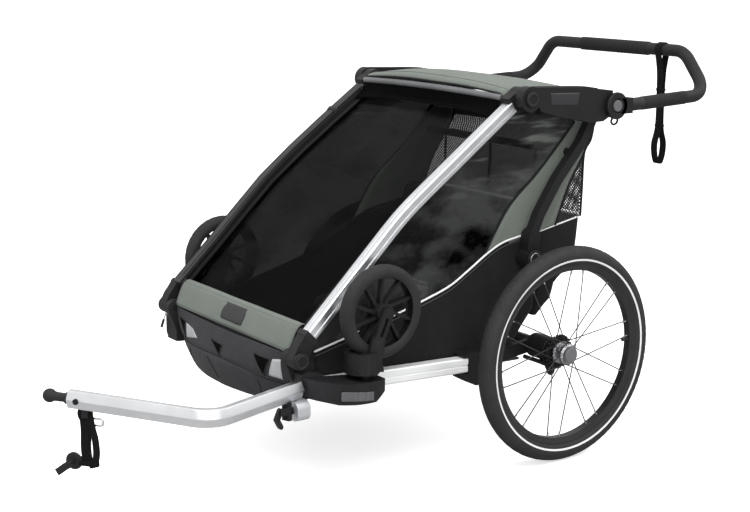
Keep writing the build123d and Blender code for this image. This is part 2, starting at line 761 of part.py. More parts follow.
# Chassis
save("side_rails", *pair(side_rail()))
save("front_corners", front_corner() + receiver_drop(), mirror(front_corner(), Plane.XZ))
save("pivot_pins", *pair(front_pivot_pin()), *pair(strut_pivot_pin()))
save("cross_tubes", nose_crossbar(), axle_beam(), *pair(brake_rod()))
save("axle_housings", *pair(axle_housing()), *pair(brake_lever()))
save("rear_corners", *pair(rear_corner()))
save("rear_uprights", *pair(rear_upright()))
save("floor_pan", floor_pan())
save("side_platforms", *pair(platform()))
save("platform_reflectors", *pair(platform_reflector()))
save("nose_cover", nose_cover())
save("hitch_receiver", hitch_receiver())
save("seat_bases", *pair(seat_base()))
save("seat_backs", *pair(seat_back()))
save("harness_straps", *[shoulder_strap(y) for y in STRAP_PLACES])
save("lower_side_panels", *pair(lower_side_panel()))
save("side_windows", *pair(side_window()))
save("side_bands", *pair(side_band()))
save("rear_mesh", *pair(rear_side_mesh()), rear_panel())
save("rear_bag", rear_bag())

# Front frame
save("pillars", *pair(pillar()))
save("pillar_ends", *pair(pillar_foot()), *pair(pillar_head()), *pair(upper_hinge_pin()))
save("header_bar", header_bar())
save("front_screen", front_screen())
save("front_band", front_band())

# Side arms, struts and handlebar
save("side_arms", *pair(side_arm()))
save("rear_roof_bar", rear_roof_bar())
save("roof_canopy", roof_canopy())
save("rear_struts", *pair(rear_strut()), strut_crossbar())
save("handlebar_tube", handlebar())
save("handlebar_hubs", *pair(handlebar_hub()))
save("handlebar_grip", handlebar_grip())
save("wrist_strap", wrist_strap())

# Tow arm and brake pedal
save("tow_arm", tow_arm())
save("tow_fittings", tow_foot(), strap_hanger(), tow_rivet())
save("tow_latch", tow_latch())
save("tow_ball", tow_ball())
save("hitch_strap", hitch_strap(), strap_ring(), hitch_pin())
save("brake_pedal", brake_pedal())

# Pieces that exist once on each side and move on their own
SIDE_PIECES = {
    "hub_button": [hub_button()],
    "tyre": [tyre()],
    "rim": [rim()],
    "spokes": spokes(),
    "wheel_hub": [hub_shell() + brake_ring()],
    "release_button": [release_button()],
    "stroller_fork": [stroller_fork()],
    "stroller_tyre": [stroller_tyre()],
    "stroller_rim": [stroller_rim()],
    "brake_pin": [brake_pin()],
}
for name, pieces in SIDE_PIECES.items():
    save(f"{name}_left", *pieces)
    save(f"{name}_right", *[piece.mirror(Plane.XZ) for piece in pieces])
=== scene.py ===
import math

import bpy
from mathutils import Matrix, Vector, noise


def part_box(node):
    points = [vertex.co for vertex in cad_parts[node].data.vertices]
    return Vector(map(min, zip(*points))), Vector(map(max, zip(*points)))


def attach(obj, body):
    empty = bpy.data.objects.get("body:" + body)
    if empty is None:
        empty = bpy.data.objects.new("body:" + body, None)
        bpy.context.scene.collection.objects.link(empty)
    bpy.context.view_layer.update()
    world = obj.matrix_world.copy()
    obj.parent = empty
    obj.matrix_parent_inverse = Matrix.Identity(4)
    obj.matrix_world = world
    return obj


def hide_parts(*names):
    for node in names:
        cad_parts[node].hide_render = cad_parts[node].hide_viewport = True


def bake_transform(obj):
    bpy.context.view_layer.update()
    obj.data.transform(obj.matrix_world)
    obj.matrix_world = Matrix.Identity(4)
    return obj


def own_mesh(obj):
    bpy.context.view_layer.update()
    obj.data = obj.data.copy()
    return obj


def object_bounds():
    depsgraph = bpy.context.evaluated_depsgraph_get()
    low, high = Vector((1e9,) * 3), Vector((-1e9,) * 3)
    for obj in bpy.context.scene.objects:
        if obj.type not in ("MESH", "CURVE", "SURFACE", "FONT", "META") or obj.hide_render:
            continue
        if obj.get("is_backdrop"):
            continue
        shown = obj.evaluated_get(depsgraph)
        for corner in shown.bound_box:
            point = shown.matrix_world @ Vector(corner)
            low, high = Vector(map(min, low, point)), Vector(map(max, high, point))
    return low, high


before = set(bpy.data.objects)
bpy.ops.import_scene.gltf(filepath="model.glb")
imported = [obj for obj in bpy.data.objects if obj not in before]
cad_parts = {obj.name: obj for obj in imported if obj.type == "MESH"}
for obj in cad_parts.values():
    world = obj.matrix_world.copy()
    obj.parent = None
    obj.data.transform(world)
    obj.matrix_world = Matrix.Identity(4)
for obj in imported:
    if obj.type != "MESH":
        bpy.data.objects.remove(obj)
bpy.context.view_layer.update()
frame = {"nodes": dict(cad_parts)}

# Child bicycle trailer. Places are in millimetres from the ground under the axle: X forward, Y to the
# trailer's left, Z up. place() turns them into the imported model's own frame, in metres.
MM = 0.001
TAU = math.tau
SIDES = (("left", 1), ("right", -1))
X_AXIS, Y_AXIS, Z_AXIS = Vector((1, 0, 0)), Vector((0, 1, 0)), Vector((0, 0, 1))

TYRE_LOW, TYRE_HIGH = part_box("tyre_left")
AXLE_X = (TYRE_LOW.x + TYRE_HIGH.x) / 2
TYRE_R = (TYRE_HIGH.z - TYRE_LOW.z) / 2 / MM
TYRE_SECTION_R = 22
AXLE = Vector((0, (TYRE_LOW.y + TYRE_HIGH.y) / 2 / MM, (TYRE_LOW.z + TYRE_HIGH.z) / 2 / MM))
SPOKES = 20
SPOKE_SWELL = 0.4
STROLLER_LOW, STROLLER_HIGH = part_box("stroller_tyre_left")
STROLLER_AXLE = ((STROLLER_LOW + STROLLER_HIGH) / 2 - X_AXIS * AXLE_X) / MM

# Centres of the pivots' outer faces.
PIN_FACE_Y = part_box("pivot_pins")[1].y / MM
HUB = (-184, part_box("handlebar_hubs")[1].y / MM, 794)
FRONT_PIVOT = (656, PIN_FACE_Y, 322)
STRUT_PIVOT = (30, PIN_FACE_Y, 457)
UPPER_PIVOT = (68, 326, 823)
ARM_FACE_Y = 320.4
CROSSBAR_X, CROSSBAR_Z = -497, 899
WRIST_Y = 165

FABRIC_Y = 259.0        # cabin side
FILM_HALF = 262         # front film and header, half the width
BAND_HALF = 250
ROOF_HALF = 266
NET_HALF = 255
BAG_HALF = 258
# Bodies whose fabric pieces are put on the chassis, each with a share of its height that is not used.
SINKING = {"cabin": 0.42, "seat_back": 0.8, "bag": 0.85}


# ---- materials

class Look:
    """A node tree, of a material or of the sky, built step by step."""

    def __init__(self, owner):
        owner.use_nodes = True
        self.mat = owner
        self.tree = owner.node_tree
        self.bsdf = self.tree.nodes.get("Principled BSDF")
        self.coord = self.add("ShaderNodeTexCoord").outputs["Object"]

    def add(self, kind, inputs=None, **settings):
        node = self.tree.nodes.new(kind)
        for key, value in settings.items():
            setattr(node, key, value)
        for key, value in (inputs or {}).items():
            self.set(node.inputs[key], value)
        return node

    def set(self, socket, value):
        if isinstance(value, bpy.types.NodeSocket):
            self.tree.links.new(value, socket)
        else:
            socket.default_value = value

    def paint(self, **inputs):
        """Set the principled shader's inputs, given by name with underscores for spaces."""
        for key, value in inputs.items():
            self.set(self.bsdf.inputs[key.replace("_", " ")], value)

    def math(self, operation, a, b=0.0):
        return self.add("ShaderNodeMath", {0: a, 1: b}, operation=operation).outputs[0]

    def mapped(self, scale, turn=(0, 0, 0)):
        return self.add("ShaderNodeMapping",
                        {"Vector": self.coord, "Scale": scale, "Rotation": turn}).outputs[0]

    def noise(self, scale, detail=3.0, vector=None):
        return self.add("ShaderNodeTexNoise", {"Vector": vector or self.coord, "Scale": scale,
                                               "Detail": detail}).outputs["Fac"]

    def wave(self, axis, period):
        return self.add("ShaderNodeTexWave", {"Vector": self.coord, "Scale": TAU / 20 / (period * MM)},
                        bands_direction=axis).outputs["Fac"]

    def mix(self, factor, a, b):
        return self.add("ShaderNodeMix", {0: factor, 6: a, 7: b}, data_type="RGBA").outputs[2]

    def blend(self, factor, a, b):
        return self.add("ShaderNodeMixShader", {0: factor, 1: a, 2: b}).outputs[0]

    def span(self, value, low, high, new_low=0.0, new_high=1.0):
        return self.add("ShaderNodeMapRange", {"Value": value, "From Min": low, "From Max": high,
                                               "To Min": new_low, "To Max": new_high}).outputs[0]

    def bump(self, height, depth):
        return self.add("ShaderNodeBump", {"Height": height, "Distance": depth * MM,
                                           "Strength": 1.0}).outputs[0]

    def output(self, shader):
        self.tree.links.new(shader, self.tree.nodes["Material Output"].inputs["Surface"])


def new_look(name):
    return Look(bpy.data.materials.new(name))


def shade(color, factor):
    return tuple(min(1.0, c * factor) for c in color) + (1.0,)


def grey(value):
    return (value, value, value, 1)


def relief(look, kind, size):
    """Height pattern of a surface: woven, brushed or moulded grain."""
    if kind == "weave":
        waves = [look.wave(axis, size) for axis in "XYZ"]
        return look.math("ADD", look.math("ADD", waves[0], waves[1]), waves[2])
    if kind == "brushed":
        return look.noise(60.0, 2.0, look.mapped((0.6, 14.0, 14.0)))
    return look.noise(1.0 / (size * MM), 2.0)


def surface(name, color, rough, kind, size=0.9, depth=0.12, metal=0.0, vary=0.14, wear=0.0, sheen=0.0,
            coat=0.0, shine=0.3):
    """Painted, moulded or woven surface with a fine relief, uneven colour and gloss, and worn edges."""
    look = new_look(name)
    blotch = look.noise(14.0, 4.0)
    base = look.mix(look.span(blotch, 0.3, 0.7), shade(color, 1 - vary), shade(color, 1 + vary))
    height = relief(look, kind, size)
    if kind == "weave":
        base = look.mix(look.span(height, 0.6, 2.4, 0.0, 0.35), base, shade(color, 0.55))
    if wear:
        edge = look.add("ShaderNodeNewGeometry").outputs["Pointiness"]
        rubbed = look.math("MULTIPLY", look.span(edge, 0.52, 0.6), look.span(blotch, 0.35, 0.65))
        base = look.mix(look.math("MULTIPLY", rubbed, wear), base, shade(color, 3.0))
    roughness = look.span(look.noise(45.0), 0.3, 0.7, rough - 0.06, rough + 0.06)
    look.paint(Base_Color=base, Metallic=metal, Roughness=roughness, Sheen_Weight=sheen, Coat_Weight=coat,
               Specular_IOR_Level=0.5 if metal else shine, Normal=look.bump(height, depth))
    return look.mat


def film(name, tint, ripple, face_gloss, edge_gloss, haze, glint_strength):
    """Tinted plastic film: darkened, creased and glossy. Light that falls through it on the cabin is dimmed
    less than what the eye sees through it, as the cabin is lit from every side. High on the film its diffuse
    tone is painted brighter along slanted streaks: painted highlights standing in for glints on the creases."""
    look = new_look(name)
    crease = look.noise(9.0, 3.0, look.mapped((1.0, 1.0, 1.7), (0.0, 0.7, 0.0)))
    fine = look.noise(38.0, 2.0)
    normal = look.bump(look.math("ADD", crease, look.math("MULTIPLY", fine, 0.12)), ripple)
    cloud = look.span(look.noise(5.0, 2.0), 0.3, 0.7)
    seen = look.mix(cloud, grey(tint * 0.8), grey(tint * 1.2))
    ray = look.add("ShaderNodeLightPath").outputs
    falling = look.math("MAXIMUM", ray["Is Shadow Ray"], ray["Is Diffuse Ray"])
    clear = look.add("ShaderNodeBsdfTransparent", {"Color": look.mix(falling, seen, grey(0.95))})
    # Painted highlights: slanted streaks in the upper part of the film, where the diffuse tone is brightened
    # to stand in for glints on the creases.
    glint_pattern = look.noise(1.0, 2.0, look.mapped((7.0, 1.0, 42.0), (0.0, -0.42, 0.0)))
    height = look.add("ShaderNodeSeparateXYZ", {0: look.coord}).outputs[2]
    painted_glint = look.math("MULTIPLY", look.span(glint_pattern, 0.55, 0.68), look.span(height, 0.58, 0.74))
    painted_glint = look.math("MULTIPLY", painted_glint, glint_strength)
    # Diffuse tone of the film: its dim haze, painted brighter in the highlight streaks.
    haze_and_glint_tone = look.mix(painted_glint, (0.05, 0.052, 0.051, 1), (0.20, 0.215, 0.20, 1))
    haze_and_glint_diffuse = look.add("ShaderNodeBsdfDiffuse", {"Color": haze_and_glint_tone, "Normal": normal})
    haze_and_glint_share = look.math("MAXIMUM", look.math("MULTIPLY", look.span(crease, 0.42, 0.62), haze), painted_glint)
    body = look.blend(haze_and_glint_share, clear.outputs[0], haze_and_glint_diffuse.outputs[0])
    gloss = look.add("ShaderNodeBsdfGlossy", {"Color": grey(0.7), "Roughness": 0.16, "Normal": normal})
    facing = look.add("ShaderNodeLayerWeight", {"Normal": normal}).outputs["Facing"]
    shine = look.math("MULTIPLY_ADD", look.math("POWER", facing, 4.0), edge_gloss)
    shine.node.inputs[2].default_value = face_gloss
    look.output(look.blend(shine, body, gloss.outputs[0]))
    return look.mat


def netting(name, color, pitch, open_share):
    """Knitted mesh with diamond holes."""
    look = new_look(name)
    parts = look.add("ShaderNodeSeparateXYZ", {0: look.coord}).outputs
    turn = TAU / (pitch * MM)
    across = look.math("COSINE", look.math("MULTIPLY", look.math("ADD", parts[0], parts[1]), turn))
    upward = look.math("COSINE", look.math("MULTIPLY", parts[2], turn))
    cell = look.math("ABSOLUTE", look.math("ADD", across, upward))
    hole = look.math("GREATER_THAN", cell, 2.0 * (1 - open_share))
    look.paint(Base_Color=look.mix(look.span(cell, 0.0, 1.0), shade(color, 1.3), shade(color, 0.7)),
               Roughness=0.7, Normal=look.bump(cell, 0.4))
    clear = look.add("ShaderNodeBsdfTransparent")
    look.output(look.blend(hole, look.bsdf.outputs[0], clear.outputs[0]))
    return look.mat


ALUMINIUM = surface("aluminium", (0.71, 0.72, 0.735), 0.36, "brushed", depth=0.03, metal=1.0, vary=0.04)
RAIL = surface("rail_aluminium", (0.93, 0.935, 0.94), 0.4, "brushed", depth=0.03, metal=0.35, vary=0.03)
PLASTIC = surface("black_plastic", (0.010, 0.010, 0.011), 0.5, "grain", 0.7, 0.1, wear=0.4, shine=0.22)
SOFT_PLASTIC = surface("soft_plastic", (0.017, 0.017, 0.018), 0.62, "grain", 1.1, 0.15, wear=0.3,
                       shine=0.22)
DARK_METAL = surface("dark_metal", (0.03, 0.03, 0.032), 0.38, "grain", 1.6, 0.03, metal=0.6, wear=0.3)
BLACK_RIM = surface("black_rim", (0.012, 0.012, 0.013), 0.4, "brushed", depth=0.02, metal=0.3, wear=0.4)
RUBBER = surface("rubber", (0.018, 0.018, 0.018), 0.72, "grain", 1.4, 0.12, vary=0.2)
TYRE = surface("tyre_rubber", (0.022, 0.022, 0.022), 0.7, "grain", 2.2, 0.15, vary=0.2, wear=0.25)
CHROME = surface("bright_metal", (0.62, 0.63, 0.65), 0.24, "grain", 2.5, 0.02, metal=1.0, vary=0.08)
SPOKE = surface("spoke_steel", (0.03, 0.03, 0.032), 0.4, "grain", 2.5, 0.02, metal=0.3, vary=0.08)
HUB_METAL = surface("hub_metal", (0.30, 0.30, 0.31), 0.3, "brushed", depth=0.02, metal=1.0, vary=0.08)
SILVER = surface("silver_paint", (0.55, 0.56, 0.58), 0.35, "grain", 2.0, 0.03, metal=0.6, vary=0.05)
GREY_PLASTIC = surface("grey_plastic", (0.12, 0.12, 0.125), 0.45, "grain", 1.0, 0.08, wear=0.3)
REFLECTOR = surface("reflector", (0.10, 0.10, 0.106), 0.28, "weave", 3.0, 0.25, vary=0.05, coat=0.3)
REFLECTIVE = surface("reflective_tape", (0.45, 0.46, 0.47), 0.35, "weave", 1.6, 0.1, metal=0.3)
WHITE_LINE = surface("reflective_line", (0.8, 0.8, 0.8), 0.4, "grain", 1.2, 0.06, vary=0.05)
GREEN = surface("green_fabric", (0.152, 0.172, 0.151), 0.85, "weave", 1.3, 0.16, vary=0.06, sheen=0.15,
                shine=0.15)
BLACK_FABRIC = surface("dark_fabric", (0.010, 0.010, 0.011), 0.9, "weave", 1.5, 0.2, sheen=0.05, shine=0.15)
NOSE_FABRIC = surface("nose_fabric", (0.031, 0.031, 0.034), 0.72, "weave", 1.4, 0.12, sheen=0.06,
                      shine=0.15)
SEAT = surface("seat_fabric", (0.018, 0.018, 0.020), 0.92, "weave", 2.2, 0.35, sheen=0.08, shine=0.15)
WEBBING = surface("webbing", (0.020, 0.020, 0.021), 0.75, "weave", 2.4, 0.4, sheen=0.1)
STRAP_BLACK = surface("black_webbing", (0.006, 0.006, 0.006), 0.75, "weave", 2.4, 0.4, shine=0.12)
HEADER_TRIM = surface("header_trim", (0.15, 0.155, 0.16), 0.6, "weave", 1.3, 0.1)
TRIM_GREY = surface("pillar_trim", (0.038, 0.038, 0.040), 0.62, "weave", 1.3, 0.12)
FOAM = surface("foam_grip", (0.014, 0.014, 0.015), 0.88, "grain", 1.6, 0.5)
THREAD = surface("thread", (0.10, 0.10, 0.11), 0.7, "grain", 0.6, 0.1)
# Near-black vent mesh and painted shade: its very dark tone paints the shade of the hollows behind the nose
# vents and of the cabin's inside under the header.
MESH_AND_SHADE_BLACK = surface("mesh_and_shade_black", (0.002, 0.002, 0.002), 0.95, "weave", 2.0, 0.3, shine=0.05)
BADGE = surface("badge_plate", (0.026, 0.026, 0.028), 0.45, "grain", 0.6, 0.02, vary=0.03)
# The last value of each film is the strength of its painted highlight streaks: none on the front film, strong
# on the side film.
FRONT_FILM = film("front_film", 0.17, 3.0, 0.002, 0.14, 0.0, 0.0)
SIDE_FILM = film("side_film", 0.045, 10.0, 0.02, 0.55, 0.7, 0.8)
NET = netting("mesh_fabric", (0.010, 0.010, 0.011), 8.0, 0.33)


# ---- mesh helpers

def place(point, side=1):
    x, y, z = point
    return Vector((AXLE_X + x * MM, side * y * MM, z * MM))


def link(name, data):
    obj = bpy.data.objects.new(name, data)
    bpy.context.scene.collection.objects.link(obj)
    return obj


def add_mesh(name, verts, faces, mat, side, smooth_angle=0.7):
    mesh = bpy.data.meshes.new(name)
    order = faces if side > 0 else [tuple(reversed(face)) for face in faces]
    mesh.from_pydata([place(v, side) for v in verts], [], order)
    mesh.update()
    mesh.materials.append(mat)
    mesh.shade_smooth()
    mesh.set_sharp_from_angle(angle=smooth_angle)
    return link(name, mesh)


def finish(obj, body, *nodes, slot=None):
    """Put a finished piece on its body and hide the nodes it stands for. slot is not used."""
    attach(obj, "chassis" if body in SINKING else body)
    if nodes:
        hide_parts(*nodes)
    if body in SINKING:
        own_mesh(obj)
    return obj


def modify(obj, name, kind, **settings):
    modifier = obj.modifiers.new(name, kind)
    for key, value in settings.items():
        setattr(modifier, key, value)
    return obj


def thicken(obj, thickness, offset=0.0):
    return modify(obj, "thickness", "SOLIDIFY", thickness=thickness * MM, offset=offset)


def weld(obj, distance=0.01):
    return modify(obj, "weld", "WELD", merge_threshold=distance * MM)


def grid(name, rows, mat, side=1, wrap=False, smooth_angle=0.7):
    """Quads through rows of points; wrap joins each row's end to its start."""
    width = len(rows[0])
    verts = [p for row in rows for p in row]
    faces = []
    for i in range(len(rows) - 1):
        for j in range(width if wrap else width - 1):
            k = (j + 1) % width
            faces.append((i * width + j, i * width + k, (i + 1) * width + k, (i + 1) * width + j))
    return add_mesh(name, verts, faces, mat, side, smooth_angle)


def cloth(name, rows, mat, thickness, side=1):
    return thicken(grid(name, rows, mat, side), thickness)


def cap(obj, width, side=1, both=True):
    """Close both ends of a wrapped mesh, or only its last one."""
    mesh = obj.data
    count = len(mesh.vertices)
    verts = [v.co.copy() for v in mesh.vertices]
    faces = [tuple(p.vertices) for p in mesh.polygons]
    ends = [tuple(range(width - 1, -1, -1))] if both else []
    ends.append(tuple(range(count - width, count)))
    faces += [end if side > 0 else tuple(reversed(end)) for end in ends]
    mesh.clear_geometry()
    mesh.from_pydata(verts, [], faces)
    mesh.update()
    mesh.shade_smooth()
    if both:
        mesh.set_sharp_from_angle(angle=0.9)
    return obj


def spline(points, steps=8):
    """Smooth curve through points."""
    pts = [Vector(p) for p in points]
    ends = [2 * pts[0] - pts[1]] + pts + [2 * pts[-1] - pts[-2]]
    out = []
    for a, b, c, d in zip(ends, ends[1:], ends[2:], ends[3:]):
        for i in range(steps):
            t = i / steps
            out.append(0.5 * (2 * b + (c - a) * t + (2 * a - 5 * b + 4 * c - d) * t * t
                              + (3 * b - a - 3 * c + d) * t ** 3))
    return out + [pts[-1]]


def upright(points):
    """Points (x, z) as points in the plane of the trailer's middle."""
    return [(x, 0, z) for x, z in points]


def profile_line(points):
    """Smooth (x, z) line through (x, z) points."""
    return [(p.x, p.z) for p in spline(upright(points))]


def resample(points, count):
    """The same line with evenly spaced points."""
    pts = [Vector(p) for p in points]
    lengths = [(b - a).length for a, b in zip(pts, pts[1:])]
    total = sum(lengths)
    out = []
    for i in range(count):
        want = total * i / (count - 1)
        k = 0
        while k < len(lengths) - 1 and want > lengths[k]:
            want -= lengths[k]
            k += 1
        out.append(pts[k].lerp(pts[k + 1], min(1.0, want / max(lengths[k], 1e-9))))
    return out


def cord(radius, count=8):
    return [(radius * math.cos(TAU * i / count), radius * math.sin(TAU * i / count))
            for i in range(count)]


def flat(width, thick):
    """Webbing section with softened edges."""
    w, t = width / 2, thick / 2
    return [(-w, -t * 0.4), (-w + t, -t), (0, -t), (w - t, -t), (w, -t * 0.4), (w, t * 0.4),
            (w - t, t), (0, t), (-w + t, t), (-w, t * 0.4)]


def block(half_a, half_b, corner_a, corner_b):
    """Rectangular section with cut corners."""
    a, b, c, d = half_a, half_b, half_a - corner_a, half_b - corner_b
    return [(-a, -d), (-c, -b), (c, -b), (a, -d), (a, d), (c, b), (-c, b), (-a, d)]


def rounded_loop(half_a, half_b, power, count):
    """Points (a, b) round a rectangle with soft corners."""
    out = []
    for i in range(count):
        c, s = math.cos(TAU * i / count), math.sin(TAU * i / count)
        reach = (abs(c) ** power + abs(s) ** power) ** (-1 / power)
        out.append((half_a * c * reach, half_b * s * reach))
    return out


def sweep(name, path, profile, mat, side=1, up=None, closed=False):
    """A section carried along a path. up holds the section's second axis near it."""
    pts = [Vector(p) for p in path]
    count = len(pts)
    rings = []
    last = None
    for i, p in enumerate(pts):
        before = pts[(i - 1) % count] if closed or i else p
        after = pts[(i + 1) % count] if closed or i < count - 1 else p
        tangent = (after - before).normalized()
        guide = Vector(up) if up else last or tangent.orthogonal()
        second = (guide - tangent * guide.dot(tangent)).normalized()
        last = second
        first = tangent.cross(second)
        rings.append([p + first * a + second * b for a, b in profile])
    if closed:
        rings.append(rings[0])
    obj = grid(name, rings, mat, side, True, 0.9)
    return obj if closed else cap(obj, len(profile), side)


def run(body, name, path, profile, mat, *nodes, side=1, up=None, closed=False, slot=None):
    """A swept piece, finished on its body."""
    return finish(sweep(name, path, profile, mat, side, up, closed), body, *nodes, slot=slot)


def turned(name, stations, origin, axes, mat, side=1, count=32, smooth_angle=0.8):
    """A bar of (distance, radius) stations along the first of three axes, closed at both ends."""
    ahead, first, second = axes
    spread = [first * a + second * b for a, b in cord(1, count)]
    rings = [[origin + ahead * d + out * r for out in spread] for d, r in stations]
    return cap(grid(name, rings, mat, side, True, smooth_angle), count, side)


def lathe(name, outline, centre, mat, side, count, shape=None, smooth_angle=0.6):
    """Turn a closed outline of (radius, y) points round an axle along Y. shape may change a radius."""
    cx, cy, cz = centre
    rows = []
    for i in range(count):
        angle = TAU * i / count
        row = []
        for k, (radius, y) in enumerate(outline):
            r = shape(i, k, radius) if shape else radius
            row.append((cx + r * math.cos(angle), cy + y, cz + r * math.sin(angle)))
        rows.append(row)
    rows.append(rows[0])
    return grid(name, rows, mat, side, True, smooth_angle)


def ripple(point, scale, depth, seed):
    """Smooth seeded unevenness of a fabric."""
    return depth * noise.noise(Vector(point) * scale + Vector((seed, 2.3 * seed, 0.7)))


# ---- carried-over parts

CARRIED = {
    ALUMINIUM: "pillars tow_arm",
    RAIL: "side_rails",
    PLASTIC: "axle_housings rear_corners side_platforms pillar_ends header_bar side_arms rear_struts "
             "tow_latch handlebar_hubs tow_fittings brake_pedal stroller_fork_left stroller_fork_right "
             "pivot_pins stroller_rim_left stroller_rim_right",
    SOFT_PLASTIC: "front_corners handlebar_tube",
    DARK_METAL: "cross_tubes rear_uprights rear_roof_bar floor_pan",
    BLACK_RIM: "rim_left rim_right",
    CHROME: "brake_pin_left brake_pin_right",
    SPOKE: "spokes_left spokes_right",
    SILVER: "hitch_receiver",
    GREY_PLASTIC: "release_button_left release_button_right hub_button_left hub_button_right",
    REFLECTOR: "platform_reflectors",
}
EDGED = ("front_corners rear_corners side_platforms pillar_ends side_arms rear_struts handlebar_hubs tow_arm "
         "hitch_receiver stroller_fork_left stroller_fork_right stroller_rim_left stroller_rim_right "
         "axle_housings brake_pedal header_bar platform_reflectors tow_latch tow_fittings")


def carry_over():
    nodes = frame["nodes"]
    for mat, names in CARRIED.items():
        for name in names.split():
            nodes[name].data.materials.clear()
            nodes[name].data.materials.append(mat)
    for tag, _ in SIDES:
        modify(weld(nodes[f"spokes_{tag}"]), "fuller", "DISPLACE", strength=SPOKE_SWELL * MM, mid_level=0.0)
    for name in EDGED.split():
        node = weld(nodes[name], 0.02)
        modify(node, "edges", "BEVEL", width=1.2 * MM, segments=2, limit_method="ANGLE", harden_normals=False)
        modify(node, "shading", "WEIGHTED_NORMAL")


# ---- main wheels

def tyre(tag, side):
    """Tyre with a cut tread, side ribs and the two reflective lines."""
    half = []
    for k in range(19):
        angle = math.pi * (0.5 - k / 36)
        half.append((TYRE_R - TYRE_SECTION_R + TYRE_SECTION_R * math.sin(angle),
                     TYRE_SECTION_R * math.cos(angle)))
    half += [(222, 21.2), (217, 19.6), (212, 17.0), (209, 14.9)]
    upper = half + [(207, 12.4), (207.5, 8)]
    outline = upper[::-1] + [(r, -y) for r, y in upper[1:]]
    top = len(upper) - 1

    def tread(i, k, radius):
        off = abs(k - top)
        groove = 0.0
        if off == 3 or off == 8:
            groove = 0.9
        if 3 < off < 8 and (i + off) % 6 == 0:
            groove = 1.3
        if off < 3 and i % 8 == 0:
            groove = 0.9
        if 8 < off < 12 and i % 5 == 0:
            groove = 0.8
        return radius - groove

    body = f"wheel_{tag}"
    obj = lathe(f"tyre_body_{tag}", outline, AXLE, TYRE, side, 400, tread, 0.9)
    finish(obj, body, f"tyre_{tag}")
    for face, sign in (("outer", 1), ("inner", -1)):
        ring = [(221.6, sign * 20.7), (221.4, sign * 21.5), (217.2, sign * 20.4), (217.4, sign * 19.5)]
        finish(lathe(f"tyre_line_{face}_{tag}", ring, AXLE, WHITE_LINE, side, 200), body)


def teeth(low, high, depth, period, half_notch):
    """Notches cut in a rim between two radii, one every period steps round."""
    def shape(i, k, radius):
        inside = min(i % period, -i % period) <= half_notch and low < radius < high
        return radius - (depth if inside else 0.0)
    return shape


HUB_FLANGES = [(6.1, -19.9), (19, -19.9), (24.6, -19), (26, -17.5), (26, -12.8), (24, -11.6), (16, -8.2),
               (14.6, -5), (14.6, -1), (16.5, 2), (23.6, 4.6), (25, 5.6), (25, 10.4), (23.8, 11.6),
               (20.2, 14.5), (20.2, 17.8), (17.6, 17.9), (17.6, 7.1), (6.1, 7.1)]
BRAKE_RING = [(8, -25.9), (36, -25.9), (38.4, -25.6), (40, -24.6), (40, -21.6), (38.6, -20.3), (30, -20.1),
              (28, -21.4), (14, -21.4), (8, -20.2)]
VALVE = [(193.5, 4.6), (191, 3.2), (184, 3.2), (183.5, 4.2), (178, 3.6)]
NIPPLE = [(195.5, 2.5), (191, 2.5), (189, 1.7), (184, 1.7)]


def wheel_details(tag, side):
    body = f"wheel_{tag}"
    notches = teeth(23.7, 27, 1.6, 8, 1)
    obj = lathe(f"hub_flanges_{tag}", HUB_FLANGES, AXLE, HUB_METAL, side, 160, notches, 0.5)
    finish(obj, body, f"wheel_hub_{tag}")
    notches = teeth(35.9, 41, 6.2, 16, 3)
    finish(lathe(f"brake_ring_{tag}", BRAKE_RING, AXLE, PLASTIC, side, 384, notches, 0.5), body)
    axes = (-X_AXIS, Y_AXIS, Z_AXIS)
    finish(turned(f"valve_{tag}", VALVE, AXLE + Z_AXIS * 4, axes, RUBBER, side, 12, 0.7), body)
    verts, faces = [], []
    for index in range(SPOKES):
        angle = math.radians(360 / SPOKES * index + (3.6 if index % 2 else -3.6))
        out = Vector((math.cos(angle), 0, math.sin(angle)))
        cross = out.cross(Y_AXIS)
        start = len(verts)
        for distance, radius in NIPPLE:
            for step in range(8):
                turn = TAU * step / 8
                around = (Y_AXIS * math.cos(turn) + cross * math.sin(turn)) * radius
                verts.append(AXLE + out * distance + around)
        for level in range(3):
            for step in range(8):
                a = start + level * 8 + step
                b = start + level * 8 + (step + 1) % 8
                faces.append((a, b, b + 8, a + 8))
        faces.append(tuple(range(start + 24, start + 32)))
    finish(add_mesh(f"nipples_{tag}", verts, faces, CHROME, side), body)


def stroller_tyre(tag, side):
    outline = []
    for k in range(25):
        angle = math.radians(-128 + 256 * k / 24)
        outline.append((84 + 16.4 * math.cos(angle), 16.4 * math.sin(angle)))
    outline += [(88.4, 11.6), (88.4, -11.6)]

    def tread(i, k, radius):
        return radius - (0.7 if k in (9, 15) or (9 < k < 15 and i % 6 == 0) else 0.0)

    obj = lathe(f"stroller_tyre_body_{tag}", outline, STROLLER_AXLE, RUBBER, side, 180, tread, 0.9)
    finish(obj, f"stroller_wheel_{tag}", f"stroller_tyre_{tag}")


# ---- cabin sides

PIPING_TOP = [(600, 324), (527, 340), (420, 365), (319, 392), (244, 415), (190, 444), (132, 478), (89, 496),
              (37, 505), (-10, 512)]
PANEL_FOOT = [(600, 246), (527, 241), (420, 234), (319, 228), (244, 224), (180, 222), (110, 229), (70, 240),
              (31, 292), (-2, 330)]
BAND_FRONT = [(143, 479), (76, 577), (-6, 646), (-80, 717), (-118, 756)]
BAND_REAR = [(-67, 519), (-106, 609), (-142, 665), (-170, 720), (-182, 786)]
PILLAR_UNDER = [(606, 372), (540, 432), (470, 500), (381, 583), (290, 650), (180, 727), (68, 805), (-20, 812),
                (-96, 812)]
NET_FRONT_COUNT = 26


